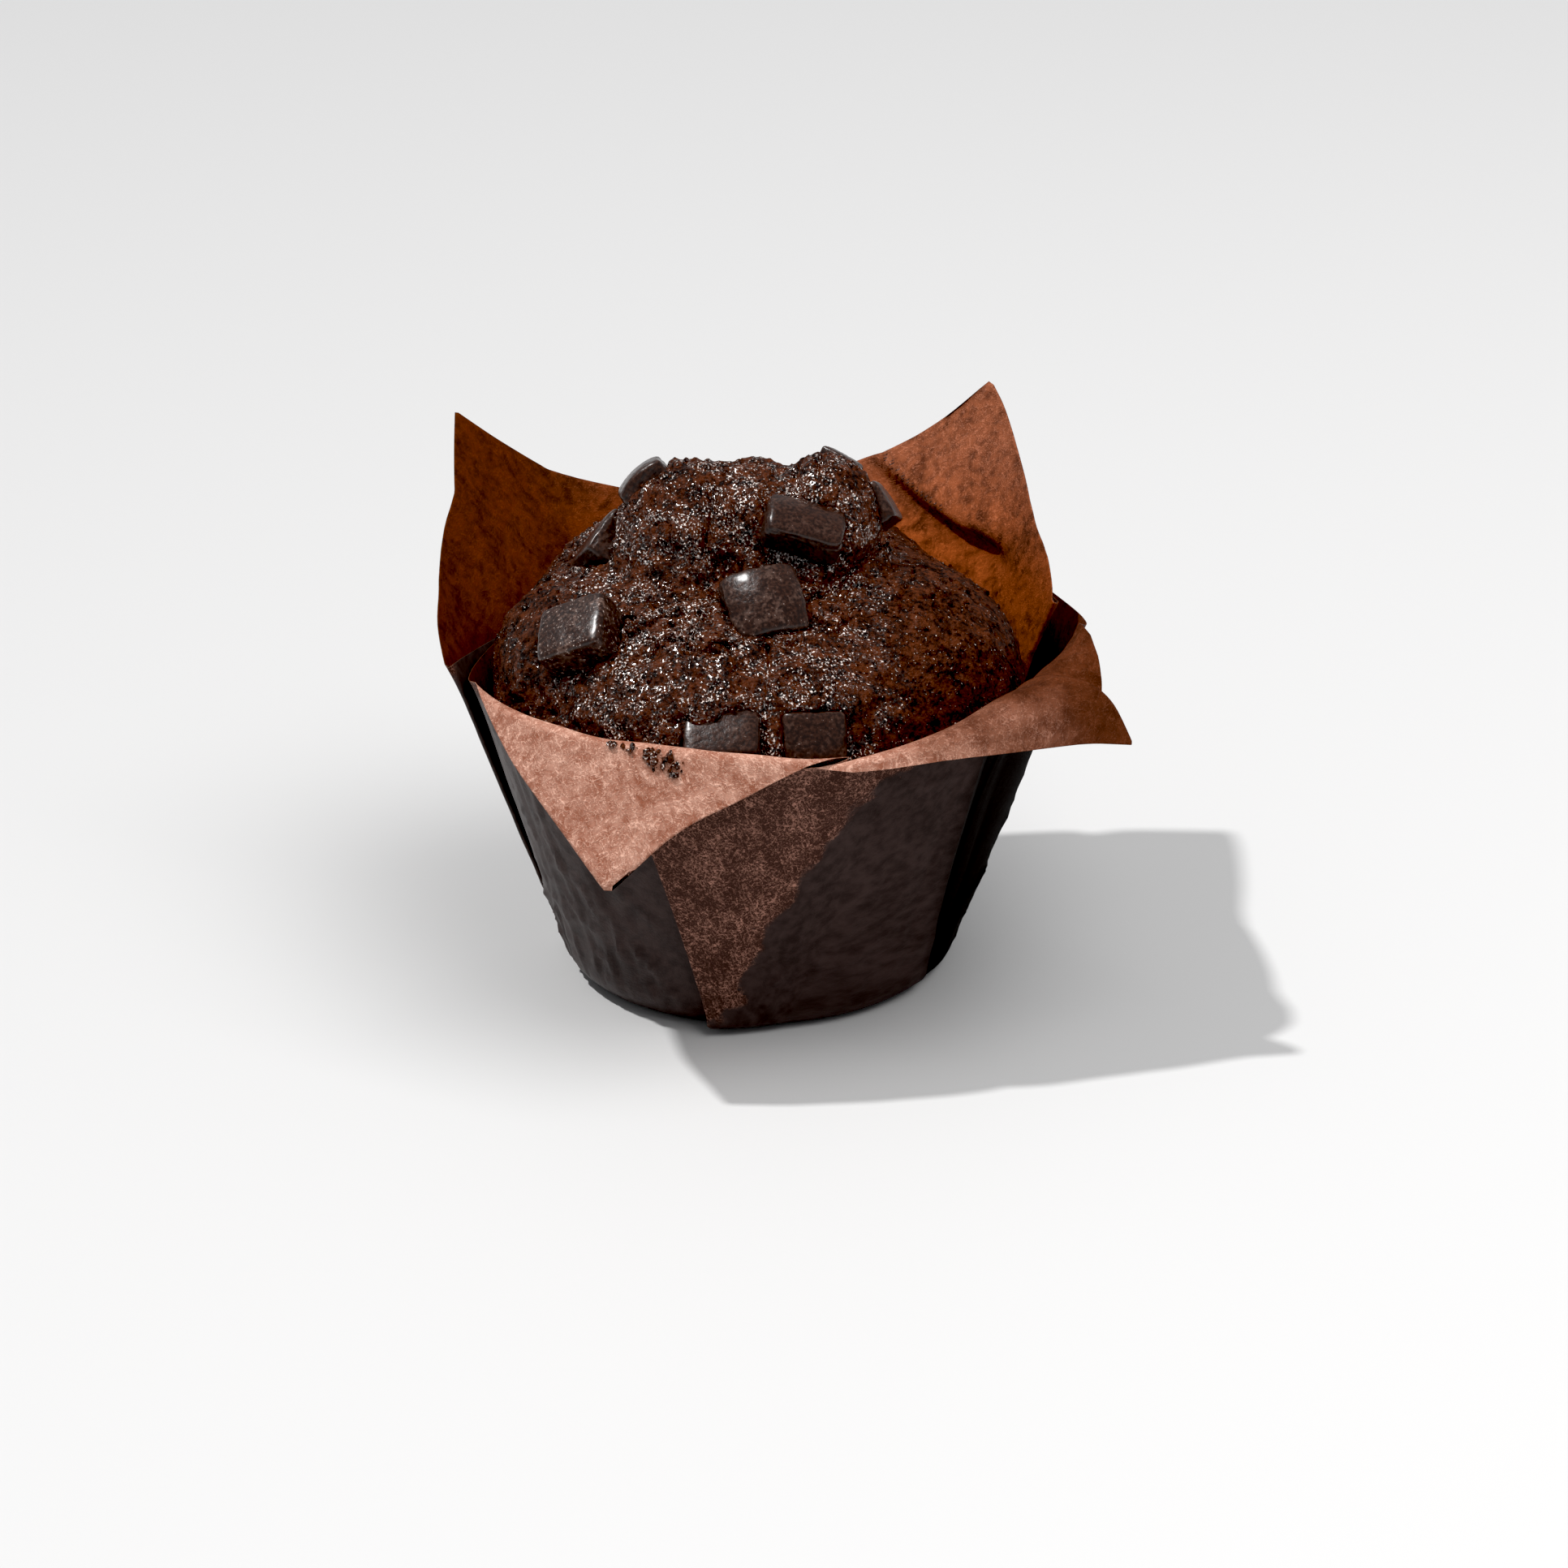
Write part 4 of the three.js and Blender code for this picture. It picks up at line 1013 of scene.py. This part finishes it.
def hull_faces(corners):
    """Every three corners that have all the others on one side."""
    faces = []
    for i, j, k in itertools.combinations(range(len(corners)), 3):
        a, b, c = corners[[i, j, k]]
        sides = (corners - a) @ np.cross(b - a, c - a)
        if (sides < TINY).all():
            faces.append((i, j, k))
        elif (sides > -TINY).all():
            faces.append((i, k, j))
    return faces


def scatter_bits(name, places, normals, sizes):
    points, faces = [], []
    for place, normal, size in zip(places, normals, sizes):
        bit = broken_bit(size)
        faces += [tuple(len(points) + i for i in f) for f in hull_faces(bit)]
        points += list(bit + place + normal * size * BIT_LIFT)
    piece = make_piece(name, points, faces)
    piece.data.shade_flat()
    return piece


inside_normals = -sheet_normals(sheet_middle)
folded_over = (sheet_runs > fold_start + 3) & (petal_of == FRONT_LEFT)
pixels = photo_place(inner_face)
nearest_clump = np.min([np.hypot(*(pixels - clump).transpose(2, 0, 1)) for clump in CRUMB_CLUMPS], 0)
chance = np.exp(-(nearest_clump / CRUMB_SPREAD) ** 2) * folded_over
chance[-1] = 0
picked = scatter.choice(chance.size, CRUMB_COUNT, p=chance.ravel() / chance.sum())
row, column = np.unravel_index(picked, chance.shape)
on_cell = scatter.uniform(0, 1, (2, CRUMB_COUNT, 1))
crumb_at = (inner_face[row, column]
            + on_cell[0] * (inner_face[row + 1, column] - inner_face[row, column])
            + on_cell[1] * (inner_face[row, column - 1] - inner_face[row, column]))
crumb_sizes = scatter.uniform(*CRUMB_SIZES, CRUMB_COUNT) ** 2 * LARGEST_CRUMB
crumbs = scatter_bits("petal_crumbs", crumb_at, inside_normals[row, column], crumb_sizes)

flake_turn = scatter.uniform(0, 2 * math.pi, FLAKE_COUNT)
flake_rise = np.arcsin(scatter.uniform(*FLAKE_RISE, FLAKE_COUNT))
flake_towards = direction_to(flake_turn, flake_rise)
flake_base = flake_towards * cake_reach(flake_towards)[:, None] + DOME_CENTRE
flake_base = flake_base + flake_towards * fine_crust(flake_base)[:, None]
flake_sizes = scatter.uniform(*FLAKE_SIZES, FLAKE_COUNT)
flakes = scatter_bits("crust_crumbs", np.minimum(flake_base, cake_high - 1), flake_towards,
                      flake_sizes)
print("crumbs on the petal: %d, on the crust: %d" % (CRUMB_COUNT, FLAKE_COUNT))

# %% [markdown]
# A finish is a small network of nodes. Writing it as sums is easier to read than linking boxes,
# so one class wraps a socket and turns Python's operators into Math nodes.

# %% Writing finishes as sums


class Wire:
    """A socket of a finish. Sums on it add Math nodes."""

    def __init__(self, tree, socket=None):
        self.tree = tree
        self.socket = socket

    def node(self, kind, settings=None, inputs=None, output=0):
        box = self.tree.nodes.new(kind)
        for key, value in (settings or {}).items():
            setattr(box, key, value)
        for key, value in (inputs or {}).items():
            if isinstance(value, Wire):
                self.tree.links.new(value.socket, box.inputs[key])
            else:
                box.inputs[key].default_value = value
        return Wire(self.tree, box.outputs[output])

    def sum(self, operation, first, second):
        return self.node("ShaderNodeMath", {"operation": operation}, {0: first, 1: second})

    def __add__(self, other):
        return self.sum("ADD", self, other)

    __radd__ = __add__

    def __sub__(self, other):
        return self.sum("SUBTRACT", self, other)

    def __rsub__(self, other):
        return self.sum("SUBTRACT", other, self)

    def __mul__(self, other):
        return self.sum("MULTIPLY", self, other)

    __rmul__ = __mul__

    def ramp(self, start, end):
        """0 below start, 1 above end, smooth between."""
        return self.node("ShaderNodeMapRange", {"interpolation_type": "SMOOTHSTEP"},
                         {"Value": self, "From Min": start, "From Max": end})

    def colours(self, low, high):
        """Blends two colours by this value."""
        return self.node("ShaderNodeMix", {"data_type": "RGBA"}, {0: self, 6: low, 7: high}, 2)

    def stretch(self, x, y, z):
        return self.node("ShaderNodeVectorMath", {"operation": "MULTIPLY"}, {0: self, 1: (x, y, z)})

    def grain(self, size, detail=3, distortion=0.0):
        """Cloudy noise whose features are about this size in the wire's own units."""
        return self.node("ShaderNodeTexNoise", {}, {
            "Vector": self, "Scale": 1 / size, "Detail": detail, "Distortion": distortion})

    def threads(self, size, width, distortion=1.2):
        """Thin curving lines, 1 on the line: they follow the places where noise is halfway."""
        halfway = self.grain(size, 1, distortion) - 0.5
        return 1 - halfway.node("ShaderNodeMath", {"operation": "ABSOLUTE"}, {0: halfway}).ramp(0, width)


def new_finish(name, roughness):
    finish = bpy.data.materials.new(name)
    finish.use_nodes = True
    tree = finish.node_tree
    shader = tree.nodes["Principled BSDF"]
    shader.inputs["Roughness"].default_value = roughness
    start = Wire(tree)
    body = start.node("ShaderNodeTexCoord", output=3).stretch(1000, 1000, 1000)
    return finish, shader, start, body


def plug(wire, shader, socket):
    wire.tree.links.new(wire.socket, shader.inputs[socket])


def raise_surface(start, height, millimetres, shader):
    bump = start.node("ShaderNodeBump", {}, {
        "Height": height, "Strength": 1.0, "Distance": millimetres * MM})
    plug(bump, shader, "Normal")


def wear(piece, finish):
    piece.data.materials.clear()
    piece.data.materials.append(finish)


# %% [markdown]
# Brown baking paper is a felt of short fibres. It is pinkish brown where dry, glows orange where
# oil has made it clear, and is almost black where it lies on the cake. The finish blends these
# by what was stored on the mesh, and lets some light through.

# %% Paper finish
DRY_INSIDE = (0.88, 0.52, 0.395, 1)
DRY_INSIDE_DARK = (0.29, 0.1, 0.058, 1)
OILED = (0.53, 0.125, 0.03, 1)
OILED_DARK = (0.04, 0.0088, 0.002, 1)
DRY_FLAP = (0.5, 0.25, 0.185, 1)
DRY_FLAP_DARK = (0.052, 0.0245, 0.019, 1)
SOAKED = (0.052, 0.034, 0.031, 1)
SOAKED_DARK = (0.006, 0.0042, 0.0038, 1)
LIGHT_THROUGH = (0.34, 0.055, 0.004, 1)
PAPER_SHINE = 0.14

paper, paper_shader, start, body = new_finish("brown_baking_paper", 0.6)
paper_shader.inputs["Specular IOR Level"].default_value = PAPER_SHINE


def stored(name, output=2):
    return start.node("ShaderNodeAttribute", {"attribute_name": name}, output=output)


sheet_place = stored("sheet", 1)
lengthwise = sheet_place.stretch(1, 0.5, 1).threads(1.1, 0.05)
crosswise = (sheet_place.stretch(0.55, 1, 1)).threads(0.9, 0.05)
slantwise = sheet_place.threads(0.6, 0.06)
fuzz = sheet_place.grain(0.32, 3)
mottle = sheet_place.grain(5, 6, 0.7)
blotches = sheet_place.grain(1.5, 5, 0.25)
felt = lengthwise * 0.34 + crosswise * 0.33 + slantwise * 0.33
weave = (felt * 0.8 + fuzz * 0.8 + mottle * 0.4 - 0.5).ramp(0.12, 0.72)
stains = (mottle * 0.45 + blotches * 0.55).ramp(0.34, 0.66)
dry_colour = (weave * 0.62 + stains * 0.38).colours(DRY_INSIDE_DARK, DRY_INSIDE)
# painted shade: the oiled colour is darker on the petals that face away from the lamp
oil_tone = (stains * 0.65 + weave * 0.35) * (1 - stored("unlit_petal_shade") * 0.85)
oiled_colour = oil_tone.colours(OILED_DARK, OILED)
inside_colour = stored("oiled").colours(dry_colour, oiled_colour)
flap_colour = (weave * (0.5 + stains * 0.5)).colours(DRY_FLAP_DARK, DRY_FLAP)
outside_dry = stored("outside").colours(inside_colour, flap_colour)
soak_edge = (stored("soaked") + (blotches - 0.5) * 0.5 + (fuzz - 0.5) * 0.3).ramp(0.3, 0.7)
# painted shade: the soaked colour goes to its darkest past the front right crease
soaked_tone = (0.45 + stains * 0.55) * (1 - stored("painted_shade"))
soaked_colour = soaked_tone.colours(SOAKED_DARK, SOAKED)
plug(soak_edge.colours(outside_dry, soaked_colour), paper_shader, "Base Color")
gloss = soak_edge * stored("polished") * 0.4
plug(0.78 - gloss + stored("painted_shade") * 0.2 + (fuzz - 0.5) * 0.2, paper_shader, "Roughness")
raise_surface(start, felt * (1 - soak_edge * 0.8) + fuzz * 0.5 + blotches * 0.6, 0.1, paper_shader)

clear_light = start.node("ShaderNodeBsdfTranslucent", {}, {"Color": LIGHT_THROUGH})
through = (1 - soak_edge) * (0.03 + stored("oiled") * stains * 0.34)
mixed = start.node("ShaderNodeMixShader", {}, {0: through, 2: clear_light})
paper.node_tree.links.new(paper_shader.outputs[0], mixed.socket.node.inputs[1])
output = paper.node_tree.nodes["Material Output"]
paper.node_tree.links.new(mixed.socket, output.inputs["Surface"])
wear(paper_cup, paper)
print("paper nodes:", len(paper.node_tree.nodes))

# %% [markdown]
# The crust is dark red-brown cake with a sugary, slightly greasy skin. It sparkles over its
# centre, less at the far left, and little on the smooth right lobe. White dots alone would look
# painted on. So most of the sparkle is gloss on a fine uneven skin, which catches the lamp here
# and there, with pale dots among it that are sugar grains and painted glints.

# %% Crust finish
CRUST_LIGHT = (0.1, 0.026, 0.009, 1)
CRUST_DARK = (0.005, 0.0012, 0.0006, 1)
# pale sugar that also stands for glints: painted highlights
SUGAR_AND_GLINT_COLOUR = (1.0, 0.86, 0.78, 1)
CRUST_SHINE = 0.12
GREASE_GLOSS = 0.13
GREASE_IOR = 2.1
SMOOTH_LOBE_SIDE = (10, 26)
DULL_LEFT_SIDE = (-33, -22)

cake, cake_shader, start, body = new_finish("baked_chocolate_crust", 0.6)
cake_shader.inputs["Specular IOR Level"].default_value = CRUST_SHINE
cake_shader.inputs["Coat Roughness"].default_value = GREASE_GLOSS
cake_shader.inputs["Coat IOR"].default_value = GREASE_IOR
coarse = body.grain(2.4, 6, 0.5)
pores = body.grain(0.6, 4)
skin = body.grain(0.33, 3, 0.4)
shade = (coarse * 0.45 + pores * 0.55).ramp(0.38, 0.64)
across_x = body.node("ShaderNodeSeparateXYZ", {}, {"Vector": body}, 0)
patches = body.grain(3.4, 4, 0.8).ramp(0.4, 0.6)
sugar_and_glint_patches = (1 - across_x.ramp(*SMOOTH_LOBE_SIDE) * 0.7) * (0.35 + patches * 0.65)
sugar_and_glint_patches = sugar_and_glint_patches * (0.45 + across_x.ramp(*DULL_LEFT_SIDE) * 0.55)
# painted glints: pale dots in the base colour, which are also sugar grains, most in the sparkle patches
sugar_and_glint_dots = (skin + sugar_and_glint_patches * 0.13).ramp(0.72, 0.76)
plug(sugar_and_glint_dots.colours(shade.colours(CRUST_DARK, CRUST_LIGHT), SUGAR_AND_GLINT_COLOUR), cake_shader, "Base Color")
plug(0.55 - sugar_and_glint_patches * 0.2 + (pores - 0.5) * 0.1, cake_shader, "Roughness")
plug(sugar_and_glint_patches.ramp(0.15, 0.9) * skin.ramp(0.46, 0.56), cake_shader, "Coat Weight")
raise_surface(start, coarse * 0.3 + pores * 0.6 + skin * 0.8, 0.5, cake_shader)
for piece in (crust, crumbs, flakes):
    wear(piece, cake)

# %% [markdown]
# Dark chocolate is nearly black and satin. Heat has left a grey bloom in patches, and sugar from
# the crust sticks to it. The pale bloom and sugar are partly a painted sheen, most on the left
# piece, which the lamp grazes.

# %% Chocolate finish
CHOCOLATE_DARK = (0.013, 0.0045, 0.0026, 1)
CHOCOLATE_LIGHT = (0.04, 0.0145, 0.008, 1)
# grey bloom, which on the left piece is also a painted sheen
BLOOM_AND_SHEEN = (0.13, 0.075, 0.057, 1)
CHOCOLATE_SHINE = 0.25
CHOCOLATE_POLISH = 0.6
POLISH_GLOSS = 0.26
# how much of each piece is frosted with bloom and sugar, partly painted sheen, most on the left one that
# the lamp grazes
FROST_AND_SHEEN = {2: 0.45, 3: 0.9, 4: 0.3, 5: 0.3}

chocolate_finish, chocolate_shader, start, body = new_finish("dark_chocolate", 0.35)
chocolate_shader.inputs["Specular IOR Level"].default_value = CHOCOLATE_SHINE
chocolate_shader.inputs["Coat Weight"].default_value = CHOCOLATE_POLISH
chocolate_shader.inputs["Coat Roughness"].default_value = POLISH_GLOSS
cloud = body.grain(3.2, 5, 0.6)
skin = body.grain(0.5, 4)
frost_and_sheen = stored("frost_and_sheen")
bloom = (cloud * 0.6 + skin * 0.4).ramp(0.5, 0.68)
sugar = (skin * 0.5 + body.grain(0.17, 2) * 0.5 + frost_and_sheen * 0.06).ramp(0.66, 0.7)
base = skin.ramp(0.35, 0.65).colours(CHOCOLATE_DARK, CHOCOLATE_LIGHT)
# painted sheen: bloom and sugar follow each piece's share of frost and sheen
bloomed = (bloom * (0.15 + frost_and_sheen * 0.85)).colours(base, BLOOM_AND_SHEEN)
plug((sugar * (0.15 + frost_and_sheen * 0.5)).colours(bloomed, SUGAR_AND_GLINT_COLOUR), chocolate_shader, "Base Color")
plug(0.34 + bloom * 0.1 + (skin - 0.5) * 0.16, chocolate_shader, "Roughness")
raise_surface(start, cloud * 0.5 + skin * 0.5 + sugar * 0.2, 0.2, chocolate_shader)
for number, piece in enumerate(chocolate, 1):
    wear(piece, chocolate_finish)
    store(piece, "frost_and_sheen", np.full(len(piece.data.vertices), FROST_AND_SHEEN.get(number, 0.1)))

# %% [markdown]
# The floor is plain and pale. One distant lamp high on the left makes the shadow, a broad one at
# the front right fills it, and the sky all round is dim.

# %% Floor and light
FLOOR_HALF = 3.0
FLOOR_COLOUR = (0.64, 0.635, 0.63, 1)
LIGHT_FROM = Vector((-0.47, 0.06, 0.88))
KEY_STRENGTH = 2.4
KEY_ANGLE = 2.6
FILL_WATTS = 8.5
FILL_SIZE = 0.9
FILL_PLACE = Vector((0.35, -0.3, 0.95))
SKY_STRENGTH = 0.32
BLACK_POINT = 0.011

floor_mesh = bpy.data.meshes.new("floor")
corners = [(-FLOOR_HALF, -FLOOR_HALF, 0), (FLOOR_HALF, -FLOOR_HALF, 0),
           (FLOOR_HALF, FLOOR_HALF, 0), (-FLOOR_HALF, FLOOR_HALF, 0)]
floor_mesh.from_pydata(corners, [], [(0, 1, 2, 3)])
floor = bpy.data.objects.new("floor", floor_mesh)
bpy.context.scene.collection.objects.link(floor)
floor_finish, floor_shader, start, body = new_finish("pale_floor", 0.55)
floor_shader.inputs["Base Color"].default_value = FLOOR_COLOUR
wear(floor, floor_finish)

key = bpy.data.lights.new("key", "SUN")
key.energy = KEY_STRENGTH
key.angle = KEY_ANGLE * DEG
key_lamp = bpy.data.objects.new("key", key)
key_lamp.rotation_euler = LIGHT_FROM.to_track_quat("Z", "Y").to_euler()
fill = bpy.data.lights.new("fill", "AREA")
fill.energy = FILL_WATTS
fill.size = FILL_SIZE
fill_lamp = bpy.data.objects.new("fill", fill)
fill_lamp.location = FILL_PLACE
fill_lamp.rotation_euler = FILL_PLACE.to_track_quat("Z", "Y").to_euler()
fill_lamp.visible_glossy = False
for lamp in (key_lamp, fill_lamp):
    bpy.context.scene.collection.objects.link(lamp)
sky = bpy.data.worlds.new("sky")
sky.use_nodes = True
sky.node_tree.nodes["Background"].inputs[0].default_value = (0.95, 0.97, 1, 1)
sky.node_tree.nodes["Background"].inputs[1].default_value = SKY_STRENGTH
bpy.context.scene.world = sky
view = bpy.context.scene.view_settings
view.view_transform = "Standard"
view.use_curve_mapping = True
view.curve_mapping.black_level = (BLACK_POINT, BLACK_POINT, BLACK_POINT)
view.curve_mapping.update()
print("key %.2f, fill %.1f W, sky %.2f" % (KEY_STRENGTH, FILL_WATTS, SKY_STRENGTH))
